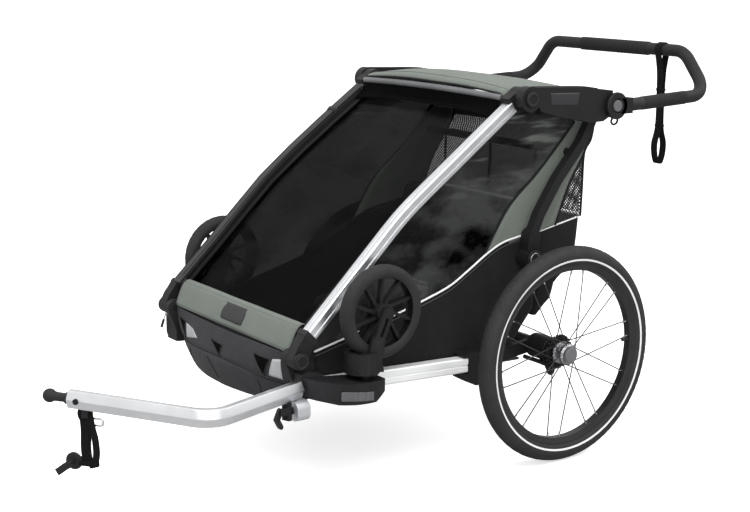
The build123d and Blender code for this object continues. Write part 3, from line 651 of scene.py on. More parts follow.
def between(top, foot, across, seed, depth, count, bulge=0.0):
    """Rows of points from a foot line up to a top line, in the cabin's side."""
    upper, lower = (resample(upright(line), count) for line in (top, foot))
    rows = []
    for k in range(across + 1):
        t = k / across
        edge = 4 * t * (1 - t)
        row = [a.lerp(b, t) for a, b in zip(lower, upper)]
        rows.append([(p.x, FABRIC_Y + bulge * edge + ripple((p.x, 0, p.z), 0.011, depth * edge, seed), p.z)
                     for p in row])
    return rows


def on_side(line, out=0.0, lift=0.0):
    """An (x, z) line laid on the cabin's side, out from the fabric."""
    return [(x, FABRIC_Y + out, z + lift) for x, z in line]


def side_wall(tag, side):
    seed = 3.0 if side > 0 else 8.0
    top, band_front, band_rear = (profile_line(line) for line in (PIPING_TOP, BAND_FRONT, BAND_REAR))
    panel = between(top, PANEL_FOOT, 20, seed, 3.0, 90, 1.5)
    finish(cloth(f"lower_panel_{tag}", panel, BLACK_FABRIC, 1.6, side), "chassis", "lower_side_panels")
    run("chassis", f"panel_piping_{tag}", on_side(top, 1.4, 1), cord(2.3), WHITE_LINE, side=side)
    for name, line, section, mat in (("lining", on_side(top, -2.4, 0.5), flat(10, 1.8), BLACK_FABRIC),
                                     ("stitch", on_side(top, 1.6, -9), flat(1.2, 0.8), THREAD)):
        run("chassis", f"panel_{name}_{tag}", line, section, mat, side=side, up=Y_AXIS)
    lower = [p for p in top if p[0] > 131] + BAND_FRONT[1:]
    rows = between(PILLAR_UNDER, lower, 28, seed + 1, 7.0, 90)
    finish(grid(f"side_window_film_{tag}", rows, SIDE_FILM, side), "cabin", "side_windows")
    rows = between(band_front, band_rear, 8, seed + 2, 1.5, 40)
    finish(cloth(f"side_band_cloth_{tag}", rows, GREEN, 1.2, side), "cabin", "side_bands")
    rows = between([(-118, 756), (-106, 808)], [(-182, 780), (-184, 806)], 6, seed, 0.5, 12)
    finish(cloth(f"side_band_top_{tag}", rows, GREEN, 1.2, side), "cabin")
    net = between(band_rear[:NET_FRONT_COUNT], [(-148, 532), (-151, 620), (-155, 690)], 8, seed, 1.0, 40)
    finish(grid(f"side_net_{tag}", net, NET, side), "cabin", "rear_mesh")
    rim = profile_line([(-146, 532), (-149, 600), (-153, 680), (-174, 715), (-187, 784)])
    for name, line, section in (("window", on_side(band_front, 1.6), flat(6, 1.6)),
                                ("band", on_side(band_rear, 1.2), flat(6, 1.6)),
                                ("net", on_side(rim), flat(7, 2.2))):
        run("cabin", f"{name}_binding_{tag}", line, section, BLACK_FABRIC, side=side, up=Y_AXIS)


def rear_wall():
    """Mesh back of the cabin with a green top strip."""
    line = profile_line([(-147, 541), (-154, 620), (-157, 680), (-176, 715), (-190, 784)])
    pts = resample(upright(line), 40)
    rows = [[(p.x - 8 * math.cos(math.pi * k / 60 - math.pi / 2) + 4, NET_HALF * (k / 30 - 1), p.z)
             for k in range(61)] for p in pts]
    finish(grid("rear_net", rows[:30], NET), "cabin", "rear_mesh")
    finish(cloth("rear_strip", rows[29:], GREEN, 1.2), "cabin")
    for k, y in enumerate((-85, 85)):
        seam = [(p.x - 2, y, p.z) for p in pts[:30]]
        run("cabin", f"rear_seam_{k}", seam, flat(10, 2), BLACK_FABRIC, up=X_AXIS)


BAG_LEVELS = [(532, -150), (518, -149), (500, -147), (480, -145), (460, -142), (440, -131), (420, -118),
              (400, -104), (390, -90), (380, -78), (360, -74), (345, -68), (330, -48), (318, -30), (312, -20)]
BAG_FRONT = -8


def bag_outline(half, back, z):
    """Rounded rectangle of the bag at one level."""
    radius = min(18, (BAG_FRONT - back) / 2 - 1)
    row = []
    for cx, cy, start in ((BAG_FRONT - radius, half - radius, 0), (back + radius, half - radius, 90),
                          (back + radius, radius - half, 180), (BAG_FRONT - radius, radius - half, 270)):
        for step in range(6):
            angle = math.radians(start + 90 * step / 5)
            row.append(Vector((cx + radius * math.cos(angle), cy + radius * math.sin(angle), z)))
        if start in (90, 270):
            sign = 1 if start == 90 else -1
            row += [Vector((back if start == 90 else BAG_FRONT, sign * (half - radius) * (1 - step / 12), z))
                    for step in range(1, 24)]
    return row, half - radius


def rear_bag():
    """Sagging storage bag, lofted through rounded outlines."""
    rows = []
    for level, (z, back) in enumerate(BAG_LEVELS):
        row, straight = bag_outline(BAG_HALF - (2 if level > 9 else 0), back, z)
        sag = math.sin(math.pi * min(level / 12, 1))
        middle = (BAG_FRONT + back) / 2
        moved = []
        for p in row:
            out = math.copysign(1, p.x - middle) if abs(p.y) < straight else 0
            wave = ripple(p, 0.014, 5.0 * sag, 4.0)
            drop = 4.0 * sag * math.sin(p.y * 0.035) - 26 * (p.x + 150) / 144 * max(0.0, 1 - level / 6)
            moved.append(p + Vector((out * (wave - 2), 0, drop)))
        rows.append(moved)
    bag = cap(grid("rear_bag_cloth", rows, BLACK_FABRIC, 1, True), len(rows[0]), both=False)
    finish(thicken(bag, 1.8), "bag", "rear_bag")
    rim = [p + Z_AXIS for p in rows[0]]
    start = next(k for k, p in enumerate(rim) if p.y < 0 and p.x > -12)
    run("bag", "rear_bag_piping", rim[:start + 1], cord(2.2), WHITE_LINE)


# ---- front

SCREEN_LINE = [(108, 789), (200, 727), (300, 657), (385, 592), (470, 513), (540, 447), (614, 379)]
SCREEN_NORMAL = (0.65, 0, 0.76)
COVER_SECTION = [(-17, -3), (-15, 1.0), (-8, 2.6), (0, 3.2), (8, 2.6), (15, 1.0), (17, -3), (0, -1)]
HEADER_SECTION = [(-7, -2), (-5, 2), (-3, 3.6), (0, 4.2), (3, 3.6), (5, 2), (7, -2), (0, -2)]


def front_window():
    """Tinted front film with its black edges, the grey cover along one pillar and the header trim."""
    line = resample(upright(SCREEN_LINE), 60)
    widths = [FILM_HALF * (k / 20 - 1) for k in range(41)]
    rows = []
    for p in line:
        row = []
        for y in widths:
            edge = 1 - (y / FILM_HALF) ** 2
            lift = ripple((p.x, y, p.z), 0.007, 5.0, 1.0) * edge - 3 * edge
            row.append((p.x + lift * SCREEN_NORMAL[0], y, p.z + lift * SCREEN_NORMAL[2]))
        rows.append(row)
    finish(grid("front_film", rows, FRONT_FILM), "front_frame", "front_screen")
    for name, y, lift, section in (("left", 255, 2, flat(20, 3.5)), ("right", -252, 2, flat(12, 4))):
        edge = [(p.x + 2, y, p.z + lift) for p in line]
        run("front_frame", f"front_edge_{name}", edge, section, BLACK_FABRIC, up=SCREEN_NORMAL)
    longer = [line[0] * 2 - line[1]] + line + [line[-1] * 3 - line[-2] * 2]
    cover = [(p.x + 11.5, -277 + 9 * k / 61, p.z + 15) for k, p in enumerate(longer)]
    run("front_frame", "pillar_cover", cover, COVER_SECTION, TRIM_GREY, up=SCREEN_NORMAL)
    lining = [(p.x + 2, -261, p.z + 2.5) for p in line]
    run("front_frame", "cover_lining", lining, flat(38, 2.6), BLACK_FABRIC, up=Y_AXIS)
    for name, shift in (("inner", 16), ("outer", -16)):
        edge = [(x, y + shift, z) for x, y, z in cover]
        run("front_frame", f"cover_piping_{name}", edge, cord(2.0), BLACK_FABRIC)
    a = line[8]
    loop = [(a.x + 13, -257, a.z + 16), (a.x + 15, -265, a.z + 19.5), (a.x + 15.5, -276, a.z + 20.5),
            (a.x + 15, -287, a.z + 19.5), (a.x + 13, -295, a.z + 16)]
    run("front_frame", "cover_loop", spline(loop), flat(9, 2), WEBBING, up=SCREEN_NORMAL)
    header(widths)


def header(widths):
    """Trim along the header bar, and a near-black strip at the film's top edge that paints the shade inside
    the cabin under the header.
    """
    trim, rows = [], [[], []]
    for y in widths:
        arch = 8 * (1 - (y / FILM_HALF) ** 2)
        trim.append((107 + arch, y, 825 + arch * 0.8))
        rows[0].append((107 + arch, y, 822 + arch * 0.8))
        rows[1].append((109 + arch * 0.6, y, 811 + arch * 0.8))
    run("front_frame", "header_cover", trim, HEADER_SECTION, HEADER_TRIM, up=(0.9, 0, 0.25))
    # Painted shade: a near-black strip hangs from the header where the cabin's inside lies in shadow.
    for t in range(7):
        drops = [6 + t / 6 * (14 + 18 * (abs(y) / FILM_HALF) ** 4) for y in widths]
        rows.append([(110 + drop * 0.72, y, 803 - drop * 0.62) for y, drop in zip(widths, drops)])
    finish(cloth("header_shade_strip", rows, MESH_AND_SHADE_BLACK, 1.2), "front_frame")


def front_band():
    """Green strip under the front film, hemmed, with a blank dark plate."""
    line = [(614, 384), (622, 385), (632, 379), (640, 366), (648, 348), (653, 334), (652, 328)]
    curve = spline(upright(line), 5)
    rows = []
    for p in curve:
        row = []
        for k in range(51):
            y = BAND_HALF * (k / 25 - 1)
            out = ripple((p.x, y, p.z), 0.012, 1.5, 5.0) + 1.5 * (1 - (y / BAND_HALF) ** 2)
            row.append((p.x + out, y, p.z))
        rows.append(row)
    finish(cloth("front_band_cloth", rows, GREEN, 1.6), "front_frame", "front_band")
    for name, k in (("upper", 8), ("lower", len(curve) - 6)):
        seam = [(x + 1.2, y, z) for x, y, z in rows[k]]
        run("front_frame", f"band_stitch_{name}", seam, flat(1.2, 0.8), THREAD, up=(1, 0, 0.4))
    plate = []
    for t in range(9):
        u = t / 8
        half = 54 - 8 * u
        plate.append([(636.4 + 22.5 * u - 5.3 * u * u - 1.2 * abs(k / 8 - 1) ** 6, 2 + half * (k / 8 - 1),
                       378 - 35 * u) for k in range(17)])
    finish(thicken(grid("band_plate", plate, BADGE), 2.0, 1.0), "front_frame")


# Rows of the nose cover from top to bottom: share of the way down, x, half width, sweep back at the
# sides, z.
NOSE_ROWS = ((0.0, 662, 249, 10, 325), (0.55, 692, 232, 46, 258), (1.0, 680, 158, 25, 207))
NOSE_FOLD = NOSE_ROWS[1][0]
NOSE_BACK_X = 642
VENTS = (((-0.93, 0.15), (-0.77, 0.17), (-0.79, 0.48), (-0.80, 0.46)),
         ((-0.16, 0.22), (0.05, 0.24), (0.06, 0.43), (0.04, 0.41)),
         ((0.53, 0.18), (0.76, 0.19), (0.73, 0.51), (0.70, 0.48)))
NOSE_REFLECTORS = (((-0.75, 0.19), (-0.58, 0.22), (-0.44, 0.33), (-0.74, 0.45)),
                   ((0.80, 0.17), (0.90, 0.13), (0.95, 0.50), (0.79, 0.48)))
NOSE_SEAMS = (((-0.98, 0.58), (-0.74, 0.53), (0.0, 0.45), (0.42, 0.48), (0.71, 0.54), (0.98, 0.58)),
              ((-0.16, 0.53), (-0.04, 0.72), (0.04, 0.88)), ((0.68, 0.62), (0.78, 0.76), (0.87, 0.92)),
              ((-0.68, 0.62), (-0.78, 0.76), (-0.87, 0.92)))


def nose_at(s, t, lift=0.0):
    """A point of the nose cover: s runs right to left, t from top to bottom."""
    a, b = NOSE_ROWS[:2] if t < NOSE_FOLD else NOSE_ROWS[1:]
    w = (t - a[0]) / (b[0] - a[0])
    x, half, sag, z = (a[i] + (b[i] - a[i]) * w for i in range(1, 5))
    dent = 2.5 * math.exp(-((t - NOSE_FOLD + 0.1 * (1 - s * s)) / 0.03) ** 2)
    share = t / NOSE_FOLD if t < NOSE_FOLD else (1 - t) / (1 - NOSE_FOLD)
    puff = 3.0 * math.sin(math.pi * min(max(share, 0), 1))
    y = half * s
    return (x - sag * s * s + puff - dent + lift + ripple((0, y, z), 0.015, 1.4, 6.0), y, z)


def nose_patch(name, corners, mat, lift):
    """A small panel that follows the nose cover, from its four corners in s and t."""
    a, b, c, d = (Vector(corner) for corner in corners)
    shares = [k / 8 for k in range(9)]
    rows = [[nose_at(*a.lerp(b, u).lerp(d.lerp(c, u), v), lift) for u in shares] for v in shares]
    finish(cloth(name, rows, mat, 1.2), "chassis")


def nose():
    rows = []
    for i in range(41):
        t = i / 40
        row = [nose_at(-1 + 2 * k / 60, t) for k in range(61)]
        ends = [(NOSE_BACK_X, y * 1.005, z) for _, y, z in (row[0], row[-1])]
        rows.append([ends[0]] + row + [ends[1]])
    finish(cloth("nose_cloth", rows, NOSE_FABRIC, 2.0), "chassis", "nose_cover")
    hem = [[(x - 10 * (y / 252) ** 2 + 2, y, z) for y in range(-252, 253, 12)]
           for x, z in ((645, 342), (646, 334), (649, 326), (655, 318))]
    finish(cloth("nose_hem", hem, BLACK_FABRIC, 2.0), "chassis")
    for k, corners in enumerate(VENTS):
        # The vents are painted near black: painted shade of the hollows behind them.
        nose_patch(f"nose_vent_{k}", corners, MESH_AND_SHADE_BLACK, 1.4)
        a, b, c, _ = corners
        rim = [nose_at(p[0] + (q[0] - p[0]) * i / 6, p[1] + (q[1] - p[1]) * i / 6, 2.0)
               for p, q in ((a, b), (b, c), (c, a)) for i in range(6)]
        run("chassis", f"vent_rim_{k}", rim, cord(1.3, 6), SOFT_PLASTIC, closed=True)
    for k, corners in enumerate(NOSE_REFLECTORS):
        nose_patch(f"nose_reflector_{k}", corners, REFLECTIVE, 1.6)
    for k, seam in enumerate(NOSE_SEAMS):
        pts = [nose_at(p.x, p.y, 1.6) for p in spline([(s, t, 0) for s, t in seam])]
        run("chassis", f"nose_seam_{k}", pts, cord(0.9, 6), BLACK_FABRIC)
    line = [(650, -290, 318), (652, -300, 310), (655, -303, 298), (661, -303, 282)]
    run("chassis", "corner_cord", spline(line), cord(1.6), WHITE_LINE, slot="webbing")
    tip = [(660.5, -303, 284), (663, -303, 277), (667.5, -303, 265)]
    run("chassis", "corner_cord_tip", tip, cord(3.2, 10), PLASTIC)


# ---- roof

# From front to back: x, z in the middle, z at the sides.
ROOF_LINE = [(104, 850, 839), (40, 861, 841), (-40, 853, 837), (-115, 841, 828), (-194, 824, 813)]


def roof():
    """Crowned roof sheet with turned-down edges."""
    rows = []
    for i, (x, top_z, side_z) in enumerate(resample(spline(ROOF_LINE, 12), 41)):
        front = max(0.0, (0.05 - i / 40) / 0.05)
        row = []
        for k in range(65):
            v = -1 + k / 32
            turn = -12 * max(0.0, (abs(v) - 0.955) / 0.045) ** 2
            z = top_z + (side_z - top_z) * v * v + turn - 7 * front ** 2
            bulge = 10 * (1 - v * v) * max(0.0, 1 - i / 40 / 0.3) - 3 * front
            row.append((x + bulge, ROOF_HALF * v, z + ripple((x, ROOF_HALF * v, 0), 0.008, 1.6, 9.0)))
        rows.append(row)
    sheet = cloth("roof_cloth", rows, GREEN, 1.8)
    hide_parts("roof_canopy")
    pieces = [sheet]
    for name, edge in (("front", rows[0]), ("left", [r[-1] for r in rows]), ("right", [r[0] for r in rows])):
        pieces.append(sweep(f"roof_piping_{name}", edge, cord(2.4), BLACK_FABRIC))
    stitch = [(x, y, z + 1.4) for x, y, z in rows[3]]
    pieces.append(sweep("roof_stitch", stitch, flat(1.4, 0.8), THREAD, up=Z_AXIS))
    for piece in pieces:
        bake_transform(piece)


# ---- seats and harness

SEAT_FOOT = Vector((72, 0, 350))
SEAT_TOP = Vector((14, 0, 556))
SEAT_Y = 111
SEAT_WIDTH = 204
VOXEL = 6


def rounded_block(name, size, mat):
    """A cushion blank: a block whose corners are drawn in, centred on its own origin."""
    cuts, power = 6, 6.4
    verts, faces, index = [], [], {}

    def key(p):
        k = tuple(round(c, 4) for c in p)
        if k not in index:
            index[k] = len(verts)
            verts.append(p)
        return index[k]

    for axis in range(3):
        for sign in (-1, 1):
            for i in range(cuts):
                for j in range(cuts):
                    quad = []
                    for a, b in ((i, j), (i + 1, j), (i + 1, j + 1), (i, j + 1)):
                        p = [0.0, 0.0, 0.0]
                        p[axis] = sign
                        p[(axis + 1) % 3] = -1 + 2 * a / cuts
                        p[(axis + 2) % 3] = -1 + 2 * b / cuts
                        quad.append(key(tuple(p)))
                    faces.append(tuple(quad) if sign > 0 else tuple(reversed(quad)))
    shaped = []
    for p in verts:
        reach = sum(abs(c) ** power for c in p) ** (1 / power)
        scale = 1 / max(reach, 1e-6) * max(abs(c) for c in p)
        shaped.append(Vector([c * scale * s / 2 * MM for c, s in zip(p, size)]))
    mesh = bpy.data.meshes.new(name)
    mesh.from_pydata(shaped, [], faces)
    mesh.materials.append(mat)
    return link(name, mesh)


def apply_modifiers(obj):
    graph = bpy.context.evaluated_depsgraph_get()
    graph.update()
    mesh = bpy.data.meshes.new_from_object(obj.evaluated_get(graph))
    obj.modifiers.clear()
    obj.data = mesh


def inflate(obj, limit):
    """Puff a cushion with a short pressure simulation and keep each point within limit."""
    bpy.context.view_layer.objects.active = obj
    modify(obj, "remesh", "REMESH", mode="VOXEL", voxel_size=VOXEL * MM)
    apply_modifiers(obj)
    rest = [v.co.copy() for v in obj.data.vertices]
    settings = obj.modifiers.new("cloth", "CLOTH").settings
    settings.use_pressure = True
    settings.uniform_pressure_force = 4.0
    settings.effector_weights.gravity = 0.0
    scene = bpy.context.scene
    for step in range(1, 21):
        scene.frame_set(step)
    apply_modifiers(obj)
    scene.frame_set(1)
    for vertex, start in zip(obj.data.vertices, rest):
        moved = vertex.co - start
        if moved.length > limit * MM:
            vertex.co = start + moved.normalized() * limit * MM


def channels(obj, lines, depth):
    """Sewn channels across a cushion's front face: the points near each line are drawn in."""
    half_width = 9
    for vertex in obj.data.vertices:
        x, y, z = vertex.co / MM
        if z < 0:
            continue
        for axis, at in lines:
            distance = abs((x, y)[axis] - at)
            if distance < half_width:
                vertex.co.z -= depth * MM * math.cos(distance / half_width * math.pi / 2) ** 2
    obj.data.shade_smooth()


def seat_cushion(kind, size, lines, turn, centre, node, body):
    """Simulate one cushion, place it on the left and mirror it to the right."""
    blank = rounded_block(f"seat_{kind}_left", (size[0] - 10, size[1] - 10, size[2] - 8), SEAT)
    inflate(blank, 8)
    channels(blank, lines, 4.0)
    shaped = [v.co / MM for v in blank.data.vertices]
    faces = [tuple(p.vertices) for p in blank.data.polygons]
    bpy.data.objects.remove(blank)
    cos, sin = math.cos(turn), math.sin(turn)

    def tilted(points):
        return [(centre[0] + x * cos + z * sin, centre[1] + y, centre[2] - x * sin + z * cos)
                for x, y, z in points]

    rim = [(a, b, 3.0) for a, b in rounded_loop(size[0] / 2 - 3, size[1] / 2 - 3, 7, 64)]
    for tag, side in SIDES:
        obj = add_mesh(f"seat_{kind}_{tag}", tilted(shaped), faces, SEAT, side, 1.5)
        finish(modify(obj, "smooth", "SUBSURF", levels=1, render_levels=1), body, node)
        run(body, f"seat_{kind}_piping_{tag}", tilted(rim), cord(2.4), BLACK_FABRIC, side=side, closed=True)


def seats():
    lines = ((0, -40), (0, 40), (1, 0))
    seat_cushion("base", (256, SEAT_WIDTH, 48), lines, 0.0, (200, SEAT_Y, 293), "seat_bases", "chassis")
    rise = SEAT_TOP - SEAT_FOOT
    middle = (SEAT_FOOT + SEAT_TOP) / 2
    lean = math.pi / 2 - math.atan2(-rise.x, rise.z)
    lines = ((0, -60), (0, 0), (0, 60), (1, 0))
    seat_cushion("back", (rise.length + 36, SEAT_WIDTH, 38), lines, lean, (middle.x, SEAT_Y, middle.z),
                 "seat_backs", "seat_back")


BUCKLE = [(-19, -16), (-12, -22), (12, -22), (19, -16), (19, 14), (11, 22), (-11, 22), (-19, 14)]


def harness():
    """Shoulder straps with pads, lap straps and buckle, two seats."""
    ahead = (SEAT_FOOT - SEAT_TOP).normalized()
    square = Vector((-ahead.z, 0, ahead.x))
    for tag, side in SIDES:
        def strap(body, name, points, section, up, *nodes, mat=WEBBING):
            run(body, f"{name}_{tag}", spline(points, 6), flat(*section), mat, *nodes, side=side, up=up)

        for name, y in (("inner", 64), ("outer", 160)):
            top, foot = (end + Y_AXIS * y for end in (SEAT_TOP, SEAT_FOOT))
            path = [top + square * 21 - ahead * 16, top + square * 24 + ahead * 10]
            path += [top.lerp(foot, t) + square * 25 + Y_AXIS * (SEAT_Y - y) * 0.55 * t
                     for t in (0.3, 0.55, 0.8)]
            strap("seat_back", f"shoulder_strap_{name}", path, (24, 2.4), square, "harness_straps")
            pad = [p + square * 3.5 for p in path[1:4]]
            strap("seat_back", f"shoulder_pad_{name}", pad, (34, 7), square, mat=BLACK_FABRIC)
        lap = [(112, 24, 322), (128, 60, 330), (138, 96, 342), (140, 111, 346), (138, 126, 342),
               (128, 162, 330), (112, 198, 322)]
        strap("chassis", "lap_strap", lap, (22, 2.4), (0.5, 0, 0.85))
        crotch = [(190, 111, 319), (165, 111, 326), (146, 111, 340)]
        strap("chassis", "crotch_strap", crotch, (24, 2.4), Z_AXIS)
        rows = [[(139 + v * scale * 0.5 + depth * 0.86, SEAT_Y + u * scale,
                  345 - v * scale * 0.86 + depth * 0.5) for u, v in BUCKLE]
                for depth, scale in ((0, 0.8), (1.5, 1.0), (7, 1.0), (9, 0.86), (9.6, 0.4))]
        buckle = grid(f"buckle_{tag}", rows, PLASTIC, side, True, 0.5)
        finish(cap(buckle, len(BUCKLE), side), "chassis")


# ---- handlebar

def handlebar_trim():
    grip = [(0, 15.6), (1, 16.8), (3, 17.2)] + [(3 + i * 6, 17.2 - 0.4 * (i % 2)) for i in range(1, 39)]
    grip += [(237, 17.2), (239, 16.8), (240, 15.6)]
    start = Vector((CROSSBAR_X, -120, CROSSBAR_Z))
    obj = turned("grip_foam", grip, start, (Y_AXIS, X_AXIS, Z_AXIS), FOAM, 1, 28, 1.2)
    finish(obj, "handlebar", "handlebar_grip")
    rings = [(j, 15.9 - 0.3 * (j % 2)) for j in range(47)]
    start = Vector((-275, 317, 793.4))
    axes = (Vector((-140, 0, 4.8)) / 46, Y_AXIS, Z_AXIS)
    for tag, side in SIDES:
        finish(turned(f"side_grip_{tag}", rings, start, axes, FOAM, side, 24, 1.2), "handlebar")


def wrist_strap():
    """Webbing loop over the crossbar: its two halves run together and part again in the hand loop."""
    over = [(-511, 888), (-514, 899), (-509, 911), (-497, 916.2), (-485, 911), (-480, 899), (-483, 888)]
    down = [(-491, 850), (-493.5, 800), (-493, 710), (-482, 668), (-483, 640), (-490, 619), (-497, 615)]
    halves = over + down + [(2 * CROSSBAR_X - x, z) for x, z in reversed(down[:-1])]
    path = spline([(x, WRIST_Y, z) for x, z in halves], 6)
    rings = []
    for i, p in enumerate(path):
        tangent = (path[(i + 1) % len(path)] - path[i - 1]).normalized()
        out = tangent.cross(Y_AXIS)
        rings.append([p + Y_AXIS * a + out * b for a, b in flat(21, 2.4)])
    rings.append(rings[0])
    finish(grid("wrist_loop", rings, STRAP_BLACK, 1, True, 0.9), "wrist_strap", "wrist_strap")
    for name, low, high in (("upper", 797, 803), ("lower", 707, 713)):
        bar = [(CROSSBAR_X, WRIST_Y, low), (CROSSBAR_X, WRIST_Y, high)]
        run("wrist_strap", f"wrist_stitch_{name}", bar, block(5.4, 11.6, 1, 0.6), STRAP_BLACK, up=Y_AXIS)


# ---- arms and hitch

HUB_RING = [(17, -9), (29, -9), (31, -7), (31, -2), (29, 0), (19, 0), (17, -2)]
PIVOT_RING = [(10.5, -0.8), (15.5, -0.8), (15.5, 0.6), (14.6, 1.4), (11.4, 1.4), (10.5, 0.6)]


def arm_details(tag, side):
    """Blank plate, seam and clip of a side arm, and the rings round the pivots."""
    a, b, c, d = (Vector(p) for p in upright([(12, 834), (-76, 830), (-72, 802), (8, 806)]))
    rows = []
    for i in range(9):
        v = i / 8
        points = [a.lerp(d, v).lerp(b.lerp(c, v), k / 16) for k in range(17)]
        rows.append([(p.x, ARM_FACE_Y + 0.8 * (1 - (2 * v - 1) ** 4) * (1 - (k / 8 - 1) ** 4), p.z)
                     for k, p in enumerate(points)])
    finish(thicken(grid(f"arm_badge_{tag}", rows, BADGE, side), 1.0), "side_arms")
    finish(lathe(f"hub_ring_{tag}", HUB_RING, HUB, PLASTIC, side, 64), "handlebar")
    for name, centre, body, mat in (("front", FRONT_PIVOT, "chassis", SOFT_PLASTIC),
                                    ("strut", STRUT_PIVOT, "chassis", HUB_METAL),
                                    ("upper", UPPER_PIVOT, "front_frame", SOFT_PLASTIC)):
        ring = lathe(f"{name}_pivot_ring_{tag}", PIVOT_RING, centre, mat, side, 48)
        finish(ring, body, slot="black_plastic")
    seam = [(60, 309, 849.6), (0, 309, 846.8), (-86, 309, 842.4), (-140, 309, 834.7)]
    run("side_arms", f"arm_seam_{tag}", spline(seam), cord(1.1, 6), RUBBER, side=side, slot="black_plastic")
    loop = ((-196, 768), (-200, 760), (-196, 752), (-186, 750), (-180, 757), (-184, 766))
    clip = spline([(x, 316, z) for x, z in loop])
    run("side_arms", f"arm_clip_{tag}", clip, cord(2.4), PLASTIC, side=side)


TOW_TIP, TOW_BALL, TOW_BEND = Vector((1093, 135, 283)), Vector((1119, 101, 285)), Vector((908, 380, 269))
STRAP_PIVOT = Vector((1071, 164, 254))
BALL_R = 14.2


def hitch():
    """Rubber ball joint, safety strap, ring, hitch pin and pull tab."""
    ahead = (TOW_BALL - TOW_TIP).normalized()
    first = ahead.orthogonal().normalized()
    reach = (TOW_BALL - TOW_TIP).length
    stations = [(0.4, 9), (1.5, 12.2), (5.5, 12.2), (6.5, 9.4), (14, 9.0), (20, 9.4), (24, 9.0)]
    stations += [(reach + BALL_R * math.cos(turn), BALL_R * math.sin(turn))
                 for turn in (2.35, 2.1, 1.85, 1.57, 1.25, 0.9, 0.6, 0.3, 0.05)]
    obj = turned("ball_sleeve", stations, TOW_TIP, (ahead, first, ahead.cross(first)), RUBBER)
    finish(obj, "tow_arm", "tow_ball")
    along = TOW_TIP - TOW_BEND
    along.z = 0
    along.normalize()
    up = Z_AXIS
    out = along.cross(up)

    def at(a, b, c=0.0):
        return STRAP_PIVOT + along * a + up * b + out * c

    def part(name, path, profile, mat, *nodes, **how):
        run("hitch_strap", name, [at(*p) for p in path], profile, mat, *nodes, **how)

    def webbing(name, points, width, *nodes):
        path = spline([at(*p) for p in points], 6)
        run("hitch_strap", name, path, flat(width, 3), STRAP_BLACK, *nodes, up=out)

    webbing("strap_tail", [(0, 7.5), (7, 4), (8, -3), (4, -12), (3, -40, 0.5), (4, -70), (2, -97)], 23,
            "hitch_strap")
    webbing("strap_return", [(0, 7.5), (-7, 4), (-8, -3, -1), (-14, -30, -3), (-19, -48, -4), (-21, -78, -4),
                             (-15, -100, -3), (-2, -105, -1)], 15)
    ring = [(a - 20, b - 15, 2) for a, b in rounded_loop(15, 7, 4, 40)]
    part("strap_ring_wire", ring, cord(2.2), CHROME, closed=True)
    head = [(-20, 3.2), (-18, 4), (-1, 4), (0, 17.2), (1, 18), (4, 18), (5.4, 16.4), (5.8, 10.5), (5.0, 8)]
    finish(turned("hitch_pin_head", head, at(33, -101), (out, along, up), PLASTIC, 1, 36, 0.6), "hitch_strap")
    part("hitch_pin_bar", [(16, -92, 7), (46, -108, 7)], cord(2.4, 10), CHROME)
    tab = spline([at(43, -109, 3), at(54, -116, 3), at(66, -125, 3), at(73, -130, 3)], 5)
    run("hitch_strap", "pull_tab", tab, flat(15, 4), RUBBER, up=out)
    part("strap_foot", [(-22, -102, -1), (18, -103, 1)], block(5, 5, 2, 1), STRAP_BLACK, up=out)


# ---- stage

FLOOR_HALF = 40.0
LAMPS = (("key", (0.9, 1.6, 3.2), 2.2, 60), ("side", (2.6, -1.2, 1.8), 1.6, 18),
         ("back", (-2.4, 1.2, 2.4), 1.8, 22), ("fill", (1.2, 3.2, 1.5), 2.4, 30))
LAMP_AIM = Vector((0, 0, 0.4))
CAMERA_SPOT = (1.86665, 2.7019, 1.1605)
CAMERA_AIM = Vector((-0.5651, -0.7972, -0.2124))
LENS = 69.43
WHITE = (1, 1, 1, 1)


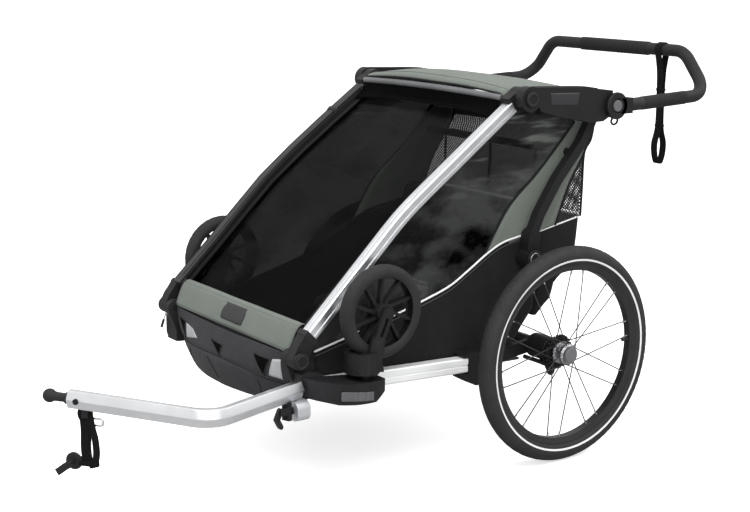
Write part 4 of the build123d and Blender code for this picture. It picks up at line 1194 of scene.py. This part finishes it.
def floor_paint():
    """Pale floor: bright to the camera, dimmer to what it lights, so that undersides stay shaded."""
    look = new_look("floor_paint")
    seen = look.add("ShaderNodeLightPath").outputs["Is Camera Ray"]
    fine = look.span(look.noise(30.0), 0.3, 0.7, 0.985, 1.0)
    glow = look.math("MULTIPLY", look.math("MULTIPLY", seen, 0.55), fine)
    look.paint(Base_Color=look.mix(seen, grey(0.42), grey(0.9)), Roughness=0.9, Specular_IOR_Level=0.0,
               Emission_Color=WHITE, Emission_Strength=glow)
    return look.mat


def sky():
    """Pale sky, brighter overhead, and plain white behind the trailer."""
    world = bpy.data.worlds.new("studio")
    bpy.context.scene.world = world
    look = Look(world)
    back = look.tree.nodes["Background"].inputs
    way = look.add("ShaderNodeTexCoord").outputs["Generated"]
    climb = look.span(look.add("ShaderNodeSeparateXYZ", {0: way}).outputs[2], 0.0, 0.8, 0.6, 1.15)
    seen = look.add("ShaderNodeLightPath").outputs["Is Camera Ray"]
    look.set(back["Strength"], look.math("MAXIMUM", climb, seen))
    look.set(back["Color"], WHITE)


def aimed(name, data, spot, direction):
    obj = link(name, data)
    obj.location = spot
    obj.rotation_euler = direction.to_track_quat("-Z", "Y").to_euler()
    return obj


def stage():
    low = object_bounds()[0][2] - MM
    mesh = bpy.data.meshes.new("floor")
    corners = ((-1, -1), (1, -1), (1, 1), (-1, 1))
    mesh.from_pydata([(x * FLOOR_HALF, y * FLOOR_HALF, low) for x, y in corners], [], [(0, 1, 2, 3)])
    mesh.materials.append(floor_paint())
    link("floor", mesh)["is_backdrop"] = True
    sky()
    for name, spot, size, power in LAMPS:
        light = bpy.data.lights.new(name, "AREA")
        light.energy = power
        light.size = size
        aimed(name, light, spot, LAMP_AIM - Vector(spot))
    lens = bpy.data.cameras.new("camera")
    lens.lens = LENS
    lens.sensor_width = 36
    bpy.context.scene.camera = aimed("camera", lens, CAMERA_SPOT, CAMERA_AIM)
    bpy.context.scene.view_settings.view_transform = "Standard"


carry_over()
for TAG, SIDE in SIDES:
    for build in (tyre, wheel_details, stroller_tyre, side_wall, arm_details):
        build(TAG, SIDE)
for build in (rear_wall, rear_bag, front_window, front_band, nose, roof, seats, harness, handlebar_trim,
              wrist_strap, hitch, stage):
    build()
